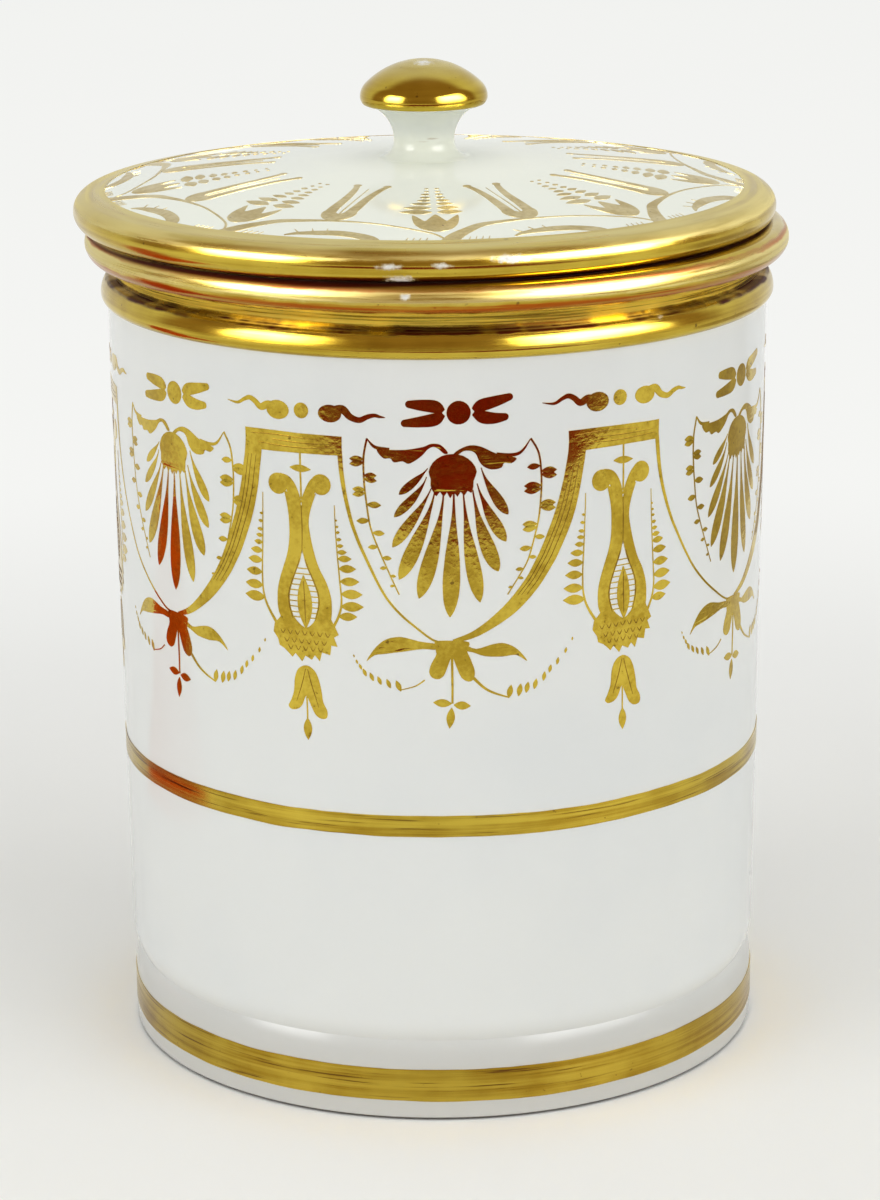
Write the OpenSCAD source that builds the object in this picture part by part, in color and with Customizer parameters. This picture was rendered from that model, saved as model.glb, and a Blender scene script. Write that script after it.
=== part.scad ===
// Covered porcelain ointment pot with gilded collar, bands, lid border and knob.
// Stands on its foot ring at z = 0 with its axis on Z. The front faces -Y.

/* [Body] */
// Height from the table to the seat on top of the rim
pot_h = 122.4; // [100:0.1:160]
// Outside diameter of the wall just above the foot
body_foot_d = 94.9; // [80:0.1:120]
// Outside diameter of the wall under the bead
body_top_d = 96.8; // [80:0.1:120]
// Thickness of the wall
wall = 4.4; // [3.8:0.1:5.5]
// Thickness of the floor over the base recess
floor_t = 4.6; // [3:0.1:8]
// Radius of the inside corner between floor and wall
floor_round = 5; // [2:0.1:10]
// Radius on the inner edge of the mouth
mouth_round = 1; // [0.3:0.1:1.6]

/* [Foot] */
// How far the foot stands back from the wall above it
foot_inset = 0.15; // [0:0.05:1]
// Height of the foot's upright side
foot_h = 8; // [6:0.1:12]
// Height of the rounded shoulder from the foot to the crease
shoulder_h = 4; // [2:0.1:6]
// Height of the rounded lower edge of the wall above the crease
wall_round_h = 4; // [2:0.1:6]
// How deep the crease lies behind the foot's side
crease_depth = 0.85; // [0.4:0.05:1.4]
// Width of the ring that the pot stands on
foot_ring_w = 4.5; // [3:0.1:7]
// Depth of the recess inside that ring
base_recess = 2.6; // [1.5:0.1:4]
// Radius on the bottom edge of the foot
foot_edge_round = 0.8; // [0.3:0.1:1.5]

/* [Collar] */
// How far the bead stands out from the wall
bead_proud = 0.85; // [0.5:0.05:1.5]
// Radius of the bead's section over its middle
bead_round = 2.4; // [1.8:0.05:2.8]
// Radius of the bead's section under its middle
bead_under = 1.2; // [0.9:0.05:1.8]
// Height from the bead's middle up to the rim's seat
bead_drop = 9.65; // [9:0.05:12]
// How far the neck over the bead stands back from the wall
neck_inset = 1.3; // [0.8:0.05:1.6]
// How far the lip stands out from the wall
lip_proud = 3; // [2.4:0.05:4]
// Radius of the lip's section
lip_round = 2.25; // [2:0.05:2.6]
// How far the lip's underside sinks into the cove
lip_tuck = 0.15; // [0.05:0.05:0.4]

/* [Lid] */
// How far the lid's edge stands back from the lip
lid_inset = 0.2; // [-1:0.05:1]
// Thickness of the lid's round edge
lid_edge_t = 4.6; // [4.2:0.1:6]
// Height of the dome over the lid's edge
dome_rise = 4.6; // [3:0.1:9]
// Thickness of the dome
dome_t = 4; // [3:0.1:5]
// Play of the flange in the mouth, on each side when centred
flange_play = 2.2; // [0.8:0.1:3.5]
// Gap left on the side to which the loose lid is pushed
flange_gap = 0.5; // [0.3:0.05:0.7]
// Thickness of the flange
flange_t = 3; // [2:0.1:4.5]
// Depth of the flange under the rim's seat
flange_h = 6; // [4:0.1:12]

/* [Knob] */
// Diameter of the cap
cap_d = 18.4; // [15:0.1:26]
// Height of the cap from its underside to its top
cap_h = 6.6; // [5.5:0.1:9]
// Radius of the cap's edge
cap_edge_round = 1.5; // [1:0.05:2.2]
// Diameter of the neck at its narrowest
neck_d = 8.8; // [6:0.1:9.5]
// Radius of the cove from the neck up to the cap
upper_cove = 5.4; // [5.2:0.1:8]
// Height from the narrowest part of the neck up to the cap
neck_rise = 5; // [3.5:0.1:5.1]
// Radius of the cove from the neck down to the dome
lower_cove = 2.5; // [1.8:0.1:4]

/* [Gilding] */
// Thickness of the fired gold layers
gilt_t = 0.1; // [0.06:0.01:0.15]
// Height of the waist band's lower edge
waist_band_z = 43.1; // [25:0.1:70]
// Width of the waist band
waist_band_w = 3.1; // [1:0.1:8]
// Height of the foot band's lower edge
foot_band_z = 2.95; // [1.6:0.05:3.5]
// Width of the foot band
foot_band_w = 4.9; // [1:0.05:5]
// How far the gilding ends short of the faces where lid and rim meet
gilt_end = 0.5; // [0.35:0.05:0.8]
// Width of the gilt border on the lid
lid_border_w = 4.6; // [3:0.1:10]
// How far the knob's gilding runs under the middle of its edge
cap_gilt_drop = 1.1; // [0.3:0.05:1.4]

/* [Hidden] */
$fn = 144;
dome_fn = 1440;
over = 1;
porcelain = "#eef0ee";
gold = "#bfa03c";

body_foot_r = body_foot_d / 2;
body_top_r = body_top_d / 2;
foot_r = body_foot_r - foot_inset;
crease_r = foot_r - crease_depth;
crease_z = foot_h + shoulder_h;
wall_z = crease_z + wall_round_h;
bead_z = pot_h - bead_drop;
lip_z = pot_h - lip_round;
bead_out = body_top_r + bead_proud;
lip_r = body_top_r + lip_proud - lip_round;
neck_r = body_top_r - neck_inset;
// The cove runs from the top of the bead up to the underside of the lip
cove_bottom_z = bead_z + bead_round;
cove_round = lip_z - lip_round - cove_bottom_z + lip_tuck;
floor_z = base_recess + floor_t;
mouth_r = body_top_r - wall;
inner_foot_r = body_foot_r - wall;

lid_edge_r = lid_edge_t / 2;
lid_r = lip_r + lip_round - lid_inset - lid_edge_r;
lid_apex = lid_edge_t + dome_rise;
lid_x = flange_gap - flange_play;
flange_r = mouth_r - flange_play;
cap_r = cap_d / 2 - cap_edge_round;
knob_r = neck_d / 2 + lower_cove;
knob_z = dome_height(knob_r);
cap_z = knob_z + lower_cove + neck_rise;

// Radius of an arc that starts upright and leans in by depth over a height
function lean_radius(height, depth) = (height * height + depth * depth) / (2 * depth);

// Radius of the wall at a height, along its slight taper
function wall_r(z) = body_foot_r + (body_top_r - body_foot_r) * (z - wall_z) / (bead_z - wall_z);

// Radius of the dome that flows into a round edge: r to the edge's middle, apex over the underside
function dome_radius(r, edge, apex) =
    (r * r + (apex - edge) * (apex - edge) - edge * edge) / (2 * (apex - 2 * edge));

// Height of the lid's dome over its underside at a radius
function dome_height(r) =
    let (ball = dome_radius(lid_r, lid_edge_r, lid_apex))
    lid_apex - ball + sqrt(ball * ball - r * r);

// Half section of a domed disc with a round edge, underside at y = 0, grown by skin
module domed_disc(r, edge, apex, skin = 0) {
    ball = dome_radius(r, edge, apex);
    lean = asin(r / (ball - edge));
    join_z = edge + edge * cos(lean);
    translate([r, edge])
        circle(edge + skin);
    translate([0, -skin])
        square([r, join_z + skin]);
    intersection() {
        translate([0, apex - ball])
            circle(ball + skin, $fn = dome_fn);
        translate([0, join_z])
            square([r + edge * sin(lean), apex - join_z + over]);
    }
}

// Keeps the half of a section that is turned round the axis
module right_half() {
    intersection() {
        children();
        translate([0, -pot_h])
            square([body_top_d, 3 * pot_h]);
    }
}

// Foot with its rounded shoulder, and the rounded lower edge of the wall
module foot_section() {
    shoulder = lean_radius(shoulder_h, crease_depth);
    wall_depth = body_foot_r - crease_r;
    wall_edge = lean_radius(wall_round_h, wall_depth);
    translate([0, foot_edge_round])
        square([foot_r, foot_h - foot_edge_round]);
    square([foot_r - foot_edge_round, foot_h]);
    translate([foot_r - foot_edge_round, foot_edge_round])
        circle(foot_edge_round);
    intersection() {
        translate([foot_r - shoulder, foot_h])
            circle(shoulder);
        translate([0, foot_h])
            square([foot_r, shoulder_h]);
    }
    intersection() {
        translate([body_foot_r - wall_edge, wall_z])
            circle(wall_edge);
        translate([0, crease_z])
            square([body_foot_r, wall_round_h]);
    }
}

// Tapering wall up to the middle of the bead, grown by skin
module wall_section(skin = 0) {
    polygon([[0, wall_z], [body_foot_r + skin, wall_z], [body_top_r + skin, bead_z], [0, bead_z]]);
}

// Upper (side 0) or lower (side -1) half of the bead, grown by skin
module bead_half(round, skin, side) {
    intersection() {
        translate([bead_out - round, bead_z])
            circle(round + skin);
        translate([0, bead_z + side * (round + over)])
            square([bead_out + over, round + over]);
    }
}

// Bead, cove and lip of the collar, grown by skin
module collar_section(skin = 0) {
    cove_r = neck_r + cove_round;
    bead_half(bead_round, skin, 0);
    bead_half(bead_under, skin, -1);
    translate([lip_r, lip_z])
        circle(lip_round + skin);
    translate([0, bead_z])
        square([neck_r + skin, lip_z - bead_z]);
    translate([0, lip_z])
        square([lip_r, lip_round]);
    difference() {
        translate([0, cove_bottom_z])
            square([lip_r, lip_z - cove_bottom_z]);
        translate([cove_r, cove_bottom_z])
            circle(cove_round - skin);
        translate([cove_r, cove_bottom_z - over])
            square([lip_r, over + cove_round - skin]);
    }
}

// Inside of the pot, with a round corner at the floor and a softened mouth
module hollow_section() {
    corner_z = floor_z + floor_round;
    corner_r = inner_foot_r - floor_round;
    polygon([[0, corner_z], [inner_foot_r, corner_z], [mouth_r, bead_z], [0, bead_z]]);
    translate([0, bead_z])
        square([mouth_r, pot_h - bead_z + over]);
    translate([0, floor_z])
        square([corner_r, floor_round]);
    translate([corner_r, corner_z])
        circle(floor_round);
    difference() {
        translate([0, pot_h - mouth_round])
            square([mouth_r + mouth_round, mouth_round + over]);
        translate([mouth_r + mouth_round, pot_h - mouth_round])
            circle(mouth_round);
    }
}

// Porcelain pot: foot, wall and collar in one clay
module jar_body() {
    color(porcelain)
    rotate_extrude()
    right_half()
    difference() {
        union() {
            foot_section();
            wall_section();
            collar_section();
        }
        hollow_section();
        translate([0, -over])
            square([foot_r - foot_ring_w, base_recess + over]);
    }
}

// Gold over bead, cove and lip, ending short of the lid
module collar_gilding() {
    bead_edge = bead_z - sqrt(bead_under * bead_under - pow(bead_under - bead_proud, 2));
    color(gold)
    rotate_extrude()
    intersection() {
        difference() {
            collar_section(gilt_t);
            collar_section();
            wall_section(gilt_t);
        }
        translate([neck_r, bead_edge])
            square([neck_inset + lip_proud + over, pot_h - gilt_end - bead_edge]);
    }
}

// Gold band painted round the lower part of the wall
module waist_band_gilding() {
    color(gold)
    rotate_extrude()
    intersection() {
        difference() {
            wall_section(gilt_t);
            wall_section();
        }
        translate([0, waist_band_z])
            square([wall_r(waist_band_z + waist_band_w) + over, waist_band_w]);
    }
}

// Gold band painted on the upright side of the foot
module foot_band_gilding() {
    color(gold)
    rotate_extrude()
    translate([foot_r, foot_band_z])
        square([gilt_t, foot_band_w]);
}

// Domed lid with its locating flange, pushed sideways in the mouth's play
module lid() {
    hollow_r = flange_r - flange_t;
    flange_round = flange_t / 2;
    ball = dome_radius(lid_r, lid_edge_r, lid_apex);
    color(porcelain)
    translate([lid_x, 0, pot_h])
    rotate_extrude()
    right_half()
    difference() {
        union() {
            domed_disc(lid_r, lid_edge_r, lid_apex);
            translate([hollow_r, flange_round - flange_h])
                square([flange_t, flange_h - flange_round]);
            translate([hollow_r + flange_round, flange_round - flange_h])
                circle(flange_round);
        }
        intersection() {
            translate([0, lid_apex - ball])
                circle(ball - dome_t, $fn = dome_fn);
            translate([0, -over])
                square([hollow_r, lid_apex]);
        }
        translate([0, knob_z])
            square([knob_r + over, lid_apex]);
    }
}

// Gold over the lid's edge and the border on its dome
module lid_border_gilding() {
    border_r = lid_r + lid_edge_r - lid_border_w;
    color(gold)
    translate([lid_x, 0, pot_h])
    rotate_extrude()
    intersection() {
        difference() {
            domed_disc(lid_r, lid_edge_r, lid_apex, gilt_t);
            domed_disc(lid_r, lid_edge_r, lid_apex);
        }
        translate([border_r, gilt_end])
            square([lid_border_w + over, lid_apex]);
    }
}

// Waisted neck and mushroom cap, stuck on the flat at the top of the dome
module knob() {
    waist_r = neck_d / 2;
    color(porcelain)
    translate([lid_x, 0, pot_h + knob_z])
    rotate_extrude()
    right_half() {
        translate([0, lower_cove + neck_rise])
            domed_disc(cap_r, cap_edge_round, cap_h);
        difference() {
            square([knob_r, lower_cove]);
            translate([knob_r, lower_cove])
                circle(lower_cove);
        }
        difference() {
            translate([0, lower_cove])
                square([cap_r, neck_rise]);
            translate([waist_r + upper_cove, lower_cove])
                circle(upper_cove);
        }
    }
}

// Gold over the knob's cap, down to just under its edge
module knob_gilding() {
    gilt_z = cap_edge_round - cap_gilt_drop;
    color(gold)
    translate([lid_x, 0, pot_h + cap_z])
    rotate_extrude()
    right_half()
    intersection() {
        difference() {
            domed_disc(cap_r, cap_edge_round, cap_h, gilt_t);
            domed_disc(cap_r, cap_edge_round, cap_h);
        }
        translate([0, gilt_z])
            square([cap_d, cap_h]);
    }
}

jar_body();
collar_gilding();
waist_band_gilding();
foot_band_gilding();
lid();
lid_border_gilding();
knob();
knob_gilding();
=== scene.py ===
from math import acos, asin, atan2, cos, degrees, hypot, pi, radians, sin, sqrt

import bpy
import bmesh
from mathutils import Matrix, Vector
from mathutils.geometry import tessellate_polygon


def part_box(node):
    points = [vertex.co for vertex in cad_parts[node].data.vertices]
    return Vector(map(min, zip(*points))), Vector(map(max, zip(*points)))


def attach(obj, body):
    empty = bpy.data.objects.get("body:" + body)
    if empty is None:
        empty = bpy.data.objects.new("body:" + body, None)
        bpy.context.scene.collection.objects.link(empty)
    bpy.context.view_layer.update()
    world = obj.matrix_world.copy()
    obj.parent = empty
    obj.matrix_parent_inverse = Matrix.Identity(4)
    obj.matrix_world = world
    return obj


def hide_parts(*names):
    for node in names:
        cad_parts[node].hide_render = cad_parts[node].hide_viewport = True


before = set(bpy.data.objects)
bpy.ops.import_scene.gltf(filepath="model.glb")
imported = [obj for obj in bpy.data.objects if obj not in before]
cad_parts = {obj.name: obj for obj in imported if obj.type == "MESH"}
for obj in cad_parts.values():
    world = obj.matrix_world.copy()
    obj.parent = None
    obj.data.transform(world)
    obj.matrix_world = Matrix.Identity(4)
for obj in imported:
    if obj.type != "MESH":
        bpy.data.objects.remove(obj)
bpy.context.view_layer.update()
mm = 0.001  # the sizes below are in millimetres

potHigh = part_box("jar_body")[1]
lidLow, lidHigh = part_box("lid")
seatZ = potHigh.z / mm  # top of the rim, where the lid sits
lidX = (lidLow.x + lidHigh.x) / 2 / mm  # the loose lid lies a little to the left
print("frame loaded, rim at", round(seatZ, 2), "mm, lid moved", round(lidX, 2), "mm")


# small helpers for node trees, geometry and shader alike

def add(tree, kind, inputs=None, **settings):
    made = tree.nodes.new(kind)
    for key, value in settings.items():
        setattr(made, key, value)
    for key, value in (inputs or {}).items():
        socket = made.inputs[key]
        if isinstance(value, bpy.types.NodeSocket):
            tree.links.new(value, socket)
        else:
            socket.default_value = value
    return made


def calc(tree, operation, *values):
    return add(tree, "ShaderNodeMath", dict(enumerate(values)), operation=operation).outputs[0]


def vectorCalc(tree, operation, *values):
    return add(tree, "ShaderNodeVectorMath", dict(enumerate(values)), operation=operation).outputs[0]


def split(tree, vector):
    return add(tree, "ShaderNodeSeparateXYZ", {0: vector}).outputs


def joinXyz(tree, x, y, z):
    return add(tree, "ShaderNodeCombineXYZ", {0: x, 1: y, 2: z}).outputs[0]


def length(tree, vector):
    return add(tree, "ShaderNodeVectorMath", {0: vector}, operation="LENGTH").outputs["Value"]


def scaled(tree, vector, amount):
    return add(tree, "ShaderNodeVectorMath", {0: vector, "Scale": amount}, operation="SCALE").outputs[0]


def squares(tree, x, y):
    return calc(tree, "MULTIPLY_ADD", x, x, calc(tree, "MULTIPLY", y, y))


def fromAxis(tree, x, y):
    return calc(tree, "SQRT", squares(tree, x, y))


def ramp(tree, value, low, high, toLow=0.0, toHigh=1.0):
    inputs = {"Value": value, "From Min": low, "From Max": high, "To Min": toLow, "To Max": toHigh}
    return add(tree, "ShaderNodeMapRange", inputs, interpolation_type="SMOOTHSTEP").outputs[0]


def noise(tree, vector, scale, detail=3.0, seed=0.0, output="Fac"):
    inputs = {"Vector": vector, "W": seed, "Scale": scale, "Detail": detail}
    return add(tree, "ShaderNodeTexNoise", inputs, noise_dimensions="4D").outputs[output]


def mixColour(tree, factor, a, b):
    return add(tree, "ShaderNodeMix", {0: factor, 6: a, 7: b}, data_type="RGBA").outputs[2]


# porcelain glaze and fired gold

# the low tone is painted shade on the pot's foot, where less light falls
glazeLook = {
    "white": (0.765, 0.775, 0.755, 1), "cloud": (0.735, 0.75, 0.74, 1), "speck": (0.22, 0.19, 0.17, 1),
    "crack": (0.25, 0.16, 0.09, 1), "contactShade": (0.06, 0.045, 0.03, 1), "low": (0.60, 0.595, 0.565, 1),
    "lowZ": (15, 9), "cloudScale": 26, "cloudSpan": (0.42, 0.66), "speckScale": 85, "speckSize": 0.03,
    "speckFew": (0.90, 0.91), "rough": 0.07, "hazeScale": 9, "hazeRough": 0.05, "specular": 0.16,
    "rippleScale": 120, "ripple": 0.05, "rippleDepth": 0.6,
}

# the shade tone paints shade and reddish reflections, the clear tone paints a bright reflection as matt
# yellow, and the darkest tone is painted shade in the crease and under the lid, and grime in the nicks
goldLook = {
    "bright": (0.60, 0.44, 0.055, 1), "deep": (0.41, 0.27, 0.024, 1), "pit": (0.10, 0.035, 0.01, 1),
    "thin": (0.64, 0.54, 0.21, 1), "thinRough": 0.26, "clear": (0.84, 0.60, 0.07, 1), "clearRough": 0.24,
    "shade": (0.38, 0.075, 0.005, 1), "shadeRough": 0.08, "shadeAndGrime": (0.05, 0.007, 0.003, 1),
    "shadeAndGrimeRough": 0.3, "bare": (0.76, 0.74, 0.68, 1), "rough": 0.09, "roughMore": 0.12, "along": 26,
    "across": 900, "fineAlong": 45, "fineAcross": 1900, "handScale": 260, "handFine": 1500,
    "patchScale": 140, "shares": (0.3, 0.3, 0.4), "toneSpan": (0.38, 0.60), "scratch": 0.55,
    "scratchAt": 0.34, "scratchSoft": 0.07, "pitScale": 900, "pitSpan": (0.69, 0.75), "pitShare": 0.7,
    "mattShare": 0.85, "bump": 0.05, "bumpDepth": 0.2,
}

wear = {"scale": 1300, "spread": 2.4, "edge": (1.6, 0.2), "wanderScale": 210, "wander": 0.8}


def newMaterial(name):
    made = bpy.data.materials.new(name)
    made.use_nodes = True
    tree = made.node_tree
    return made, tree, tree.nodes["Principled BSDF"]


def showAs(tree, shader):
    tree.links.new(shader, tree.nodes["Material Output"].inputs["Surface"])


def roughen(tree, shader, height, strength, depth):
    inputs = {"Height": height, "Strength": strength, "Distance": depth * mm}
    tree.links.new(add(tree, "ShaderNodeBump", inputs).outputs[0], shader.inputs["Normal"])


def makeGlaze(name, look, cracks=(), contactShadeH=0.0):
    made, tree, shader = newMaterial(name)
    place = add(tree, "ShaderNodeTexCoord").outputs["Object"]
    cloud = ramp(tree, noise(tree, place, look["cloudScale"], 4, 1.0), *look["cloudSpan"])
    body = mixColour(tree, cloud, look["white"], look["cloud"])
    cells = add(tree, "ShaderNodeTexVoronoi", {"Vector": place, "Scale": look["speckScale"]})
    # not every cell has a speck
    few = ramp(tree, split(tree, cells.outputs["Color"])[0], *look["speckFew"])
    speck = ramp(tree, cells.outputs["Distance"], look["speckSize"] * 2, look["speckSize"])
    colour = mixColour(tree, calc(tree, "MULTIPLY", few, speck), body, look["speck"])
    if cracks:
        colour = mixColour(tree, wornSpots(tree, place, cracks), colour, look["crack"])
    height = split(tree, place)[2]
    if look["lowZ"]:  # painted shade, greyer on the pot's foot; on the knob, painted light, paler where it meets the lid
        foot = ramp(tree, height, look["lowZ"][0] * mm, look["lowZ"][1] * mm)
        colour = mixColour(tree, foot, colour, look["low"])
    if contactShadeH:  # painted contact shadow: a dark band at the edge where the foot stands
        contactShade = ramp(tree, height, contactShadeH * mm, contactShadeH * 0.5 * mm)
        colour = mixColour(tree, contactShade, colour, look["contactShade"])
    tree.links.new(colour, shader.inputs["Base Color"])
    shader.inputs["Specular IOR Level"].default_value = look["specular"]
    haze = noise(tree, place, look["hazeScale"], 2, 3.0)
    rough = ramp(tree, haze, 0.3, 0.7, look["rough"], look["rough"] + look["hazeRough"])
    tree.links.new(rough, shader.inputs["Roughness"])
    ripple = noise(tree, place, look["rippleScale"], 2, 5.0)
    roughen(tree, shader, ripple, look["ripple"], look["rippleDepth"])
    return made


def wornSpots(tree, place, spots):
    mask = None
    grain = noise(tree, place, wear["scale"], 4, 9.0)
    ragged = calc(tree, "MULTIPLY_ADD", grain, wear["spread"], -wear["spread"] / 2)
    for x, y, z, along, across in spots:  # middle, half length and half height of a patch
        away = vectorCalc(tree, "SUBTRACT", place, (x * mm, y * mm, z * mm))
        away = vectorCalc(tree, "DIVIDE", away, (along * mm, along * mm, across * mm))
        here = ramp(tree, calc(tree, "ADD", length(tree, away), ragged), *wear["edge"])
        mask = here if mask is None else calc(tree, "MAXIMUM", mask, here)
    return mask


def brushLines(tree, x, y, z, along, across, seed):
    # lines run round the axis, on upright and on flat faces
    climb = calc(tree, "MULTIPLY_ADD", fromAxis(tree, x, y), 0.6, z)
    grain = joinXyz(tree, calc(tree, "MULTIPLY", x, along), calc(tree, "MULTIPLY", y, along),
                    calc(tree, "MULTIPLY", climb, across))
    return noise(tree, grain, 1.0, 4, seed)


def ringMask(tree, place, middle, half, soft, share):
    wave = noise(tree, place, wear["wanderScale"], 3, 11.0)
    wander = calc(tree, "MULTIPLY_ADD", wave, wear["wander"] * mm, -wear["wander"] / 2 * mm)
    height = calc(tree, "ADD", split(tree, place)[2], wander)
    off = calc(tree, "ABSOLUTE", calc(tree, "SUBTRACT", height, middle * mm))
    return ramp(tree, off, half * mm, (half - soft) * mm, 0.0, share)


# painted shade where the lid's edge overhangs the rim
def underLid(tree, place, outR, inR, lowZ, highZ, seatR, unshadedR):
    x, y, z = split(tree, vectorCalc(tree, "SUBTRACT", place, (lidX * mm, 0, 0)))
    reach = fromAxis(tree, x, y)
    outer = ramp(tree, reach, outR * mm, inR * mm)
    ring = calc(tree, "MULTIPLY", outer, ramp(tree, reach, unshadedR * mm, seatR * mm))
    return calc(tree, "MULTIPLY", ring, ramp(tree, z, lowZ * mm, highZ * mm))


def makeGold(name, look, axisX=0.0, turned=True, spots=(), rings=(), nicks=(), rimShade=None):
    made, tree, shader = newMaterial(name)
    place = add(tree, "ShaderNodeTexCoord").outputs["Object"]
    if turned:
        x, y, z = split(tree, vectorCalc(tree, "SUBTRACT", place, (axisX * mm, 0, 0)))
        streak = brushLines(tree, x, y, z, look["along"], look["across"], 2.0)
        fine = brushLines(tree, x, y, z, look["fineAlong"], look["fineAcross"], 8.0)
    else:
        streak = noise(tree, place, look["handScale"], 4, 2.0)
        fine = noise(tree, place, look["handFine"], 3, 8.0)
    cloudy = noise(tree, place, look["patchScale"], 3, 4.0)
    tone = 0.0
    for source, share in zip((cloudy, fine, streak), look["shares"]):
        tone = calc(tree, "MULTIPLY_ADD", source, share, tone)
    tone = ramp(tree, tone, *look["toneSpan"])
    pits = noise(tree, place, look["pitScale"], 2, 6.0)
    pits = ramp(tree, pits, *look["pitSpan"], 0.0, look["pitShare"])
    scratchEnd = look["scratchAt"] - look["scratchSoft"]
    scratch = ramp(tree, fine, look["scratchAt"], scratchEnd, 0.0, look["scratch"])
    colour = mixColour(tree, tone, look["deep"], look["bright"])
    colour = mixColour(tree, calc(tree, "MAXIMUM", pits, scratch), colour, look["pit"])
    rough = ramp(tree, streak, 0.3, 0.7, look["rough"] + look["roughMore"], look["rough"])
    marks = []
    for kind, *ring in rings:  # rubbed rings, and rings of painted shade and painted reflection: height, half width, soft edge, strength
        if kind == "shadeAndGrime":  # the painted shade in the crease lies in patches, the other marks follow the brush
            grain = ramp(tree, cloudy, 0.38, 0.56, 0.3, 1.0)
        else:
            grain = ramp(tree, fine, 0.36, 0.60, 0.35, 1.0)
        marks.append((kind, calc(tree, "MULTIPLY", ringMask(tree, place, *ring), grain)))
    if rimShade:
        marks.append(("shadeAndGrime", underLid(tree, place, *rimShade)))
    if nicks:
        marks.append(("shadeAndGrime", wornSpots(tree, place, nicks)))
    matt = []
    for kind, mark in marks:
        colour = mixColour(tree, mark, colour, look[kind])
        rough = calc(tree, "MULTIPLY_ADD", mark, look[kind + "Rough"], rough)
        if kind == "clear":  # painted reflection: the cove's bright yellow is painted as matt gold
            matt.append(calc(tree, "MULTIPLY", mark, look["mattShare"]))
    if spots:
        bare = wornSpots(tree, place, spots)
        colour = mixColour(tree, bare, colour, look["bare"])
        matt.append(bare)
    shader.inputs["Metallic"].default_value = 1.0
    if matt:
        most = matt[0] if len(matt) == 1 else calc(tree, "MAXIMUM", *matt)
        tree.links.new(calc(tree, "SUBTRACT", 1.0, most), shader.inputs["Metallic"])
    tree.links.new(colour, shader.inputs["Base Color"])
    tree.links.new(rough, shader.inputs["Roughness"])
    roughen(tree, shader, tone, look["bump"], look["bumpDepth"])
    return made


# places where the gold is worn through to the white, and the firing crack in the knob's neck
knobSpots = [(-1.7, -2.2, 145.3, 1.1, 0.6)]
lidSpots = [(-6.4, -51.0, 124.8, 1.4, 0.4), (0.7, -51.1, 124.9, 1.0, 0.32), (9.8, -49.7, 125.5, 1.9, 0.5),
            (-5.0, -50.3, 122.9, 1.8, 0.55)]
rimSpots = [(-4.3, -51.2, 120.6, 0.65, 0.45), (30.4, -37.4, 114.5, 0.5, 0.7)]
rimNicks = [(29.3, -38.2, 114.9, 0.35, 0.9)]
neckCracks = [(-1.9, -4.4, 134.3, 0.7, 0.1), (-0.5, -4.3, 134.7, 0.8, 0.12)]
# painted light and painted shade on one porcelain: the lid's glaze is lighter, as lit from above, and the
# knob's darker, as in shade, than the pot's; the knob pales to the lid's white at its foot
litLidLook = dict(glazeLook, white=(0.88, 0.90, 0.79, 1), cloud=(0.85, 0.87, 0.78, 1), lowZ=None)
shadedKnobLook = dict(glazeLook, white=(0.69, 0.72, 0.68, 1), low=litLidLook["white"], lowZ=(136.5, 133.0))
potGlaze = makeGlaze("pot_glaze", glazeLook, contactShadeH=0.55)
lidGlaze = makeGlaze("lid_glaze", litLidLook)
knobGlaze = makeGlaze("knob_glaze", shadedKnobLook, neckCracks)
# on the collar: rubbed gold on the lip, painted shade under the lid's edge, a reddish painted reflection
# under the lip, a painted bright reflection in the cove and painted shade in the crease
rimRings = [("thin", 120.75, 1.35, 0.7, 1.0), ("shade", 121.6, 0.45, 0.35, 0.8),
            ("shade", 118.85, 0.75, 0.4, 0.95), ("clear", 117.1, 1.4, 0.5, 1.0),
            ("shadeAndGrime", 115.15, 0.5, 0.35, 1.0)]
# painted shade on the seat under the lid: its outer edge, its heights and its inner edge, each from and
# to
underLidShade = (51.1, 50.3, 121.2, 121.8, 49.4, 48.8)
collarLook = dict(goldLook, scratch=0.75, bump=0.1)
collarGold = makeGold("collar_gold", collarLook, spots=rimSpots, rings=rimRings, nicks=rimNicks,
                      rimShade=underLidShade)
bandLook = dict(goldLook, bright=(0.56, 0.41, 0.05, 1), deep=(0.34, 0.21, 0.017, 1), rough=0.14,
                scratch=0.9, scratchAt=0.41, fineAlong=60, fineAcross=3200)
# painted shade: the foot band's gold is darker, for the floor's shadow that it mirrors
shadedFootLook = dict(bandLook, bright=(0.49, 0.345, 0.042, 1), deep=(0.29, 0.17, 0.014, 1))
bandGold = makeGold("band_gold", bandLook)
shadedFootGold = makeGold("foot_gold_shaded", shadedFootLook)
lidGold = makeGold("lid_gold", dict(goldLook, rough=0.12), lidX, spots=lidSpots,
                   rings=[("thin", 128.4, 3.2, 0.7, 1.0)])
knobGold = makeGold("knob_gold", dict(goldLook, rough=0.07, roughMore=0.07, scratch=0.3), lidX,
                    spots=knobSpots, rings=[("thin", 146.0, 3.4, 2.8, 0.8)])
paintLook = dict(goldLook, rough=0.05, roughMore=0.07, bump=0.035)
etchLook = dict(goldLook, bright=(0.26, 0.15, 0.02, 1), deep=(0.12, 0.06, 0.01, 1), rough=0.25)
lidPaintLook = dict(goldLook, bright=(0.62, 0.51, 0.24, 1), deep=(0.45, 0.34, 0.12, 1), rough=0.28)
paintedGold = makeGold("painted_gold", paintLook, turned=False)
etchedGold = makeGold("etched_gold", etchLook, turned=False)
lidPaintGold = makeGold("lid_paint_gold", lidPaintLook, turned=False)
print("materials made")


# outlines of the turned pieces, as (radius, height)

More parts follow.
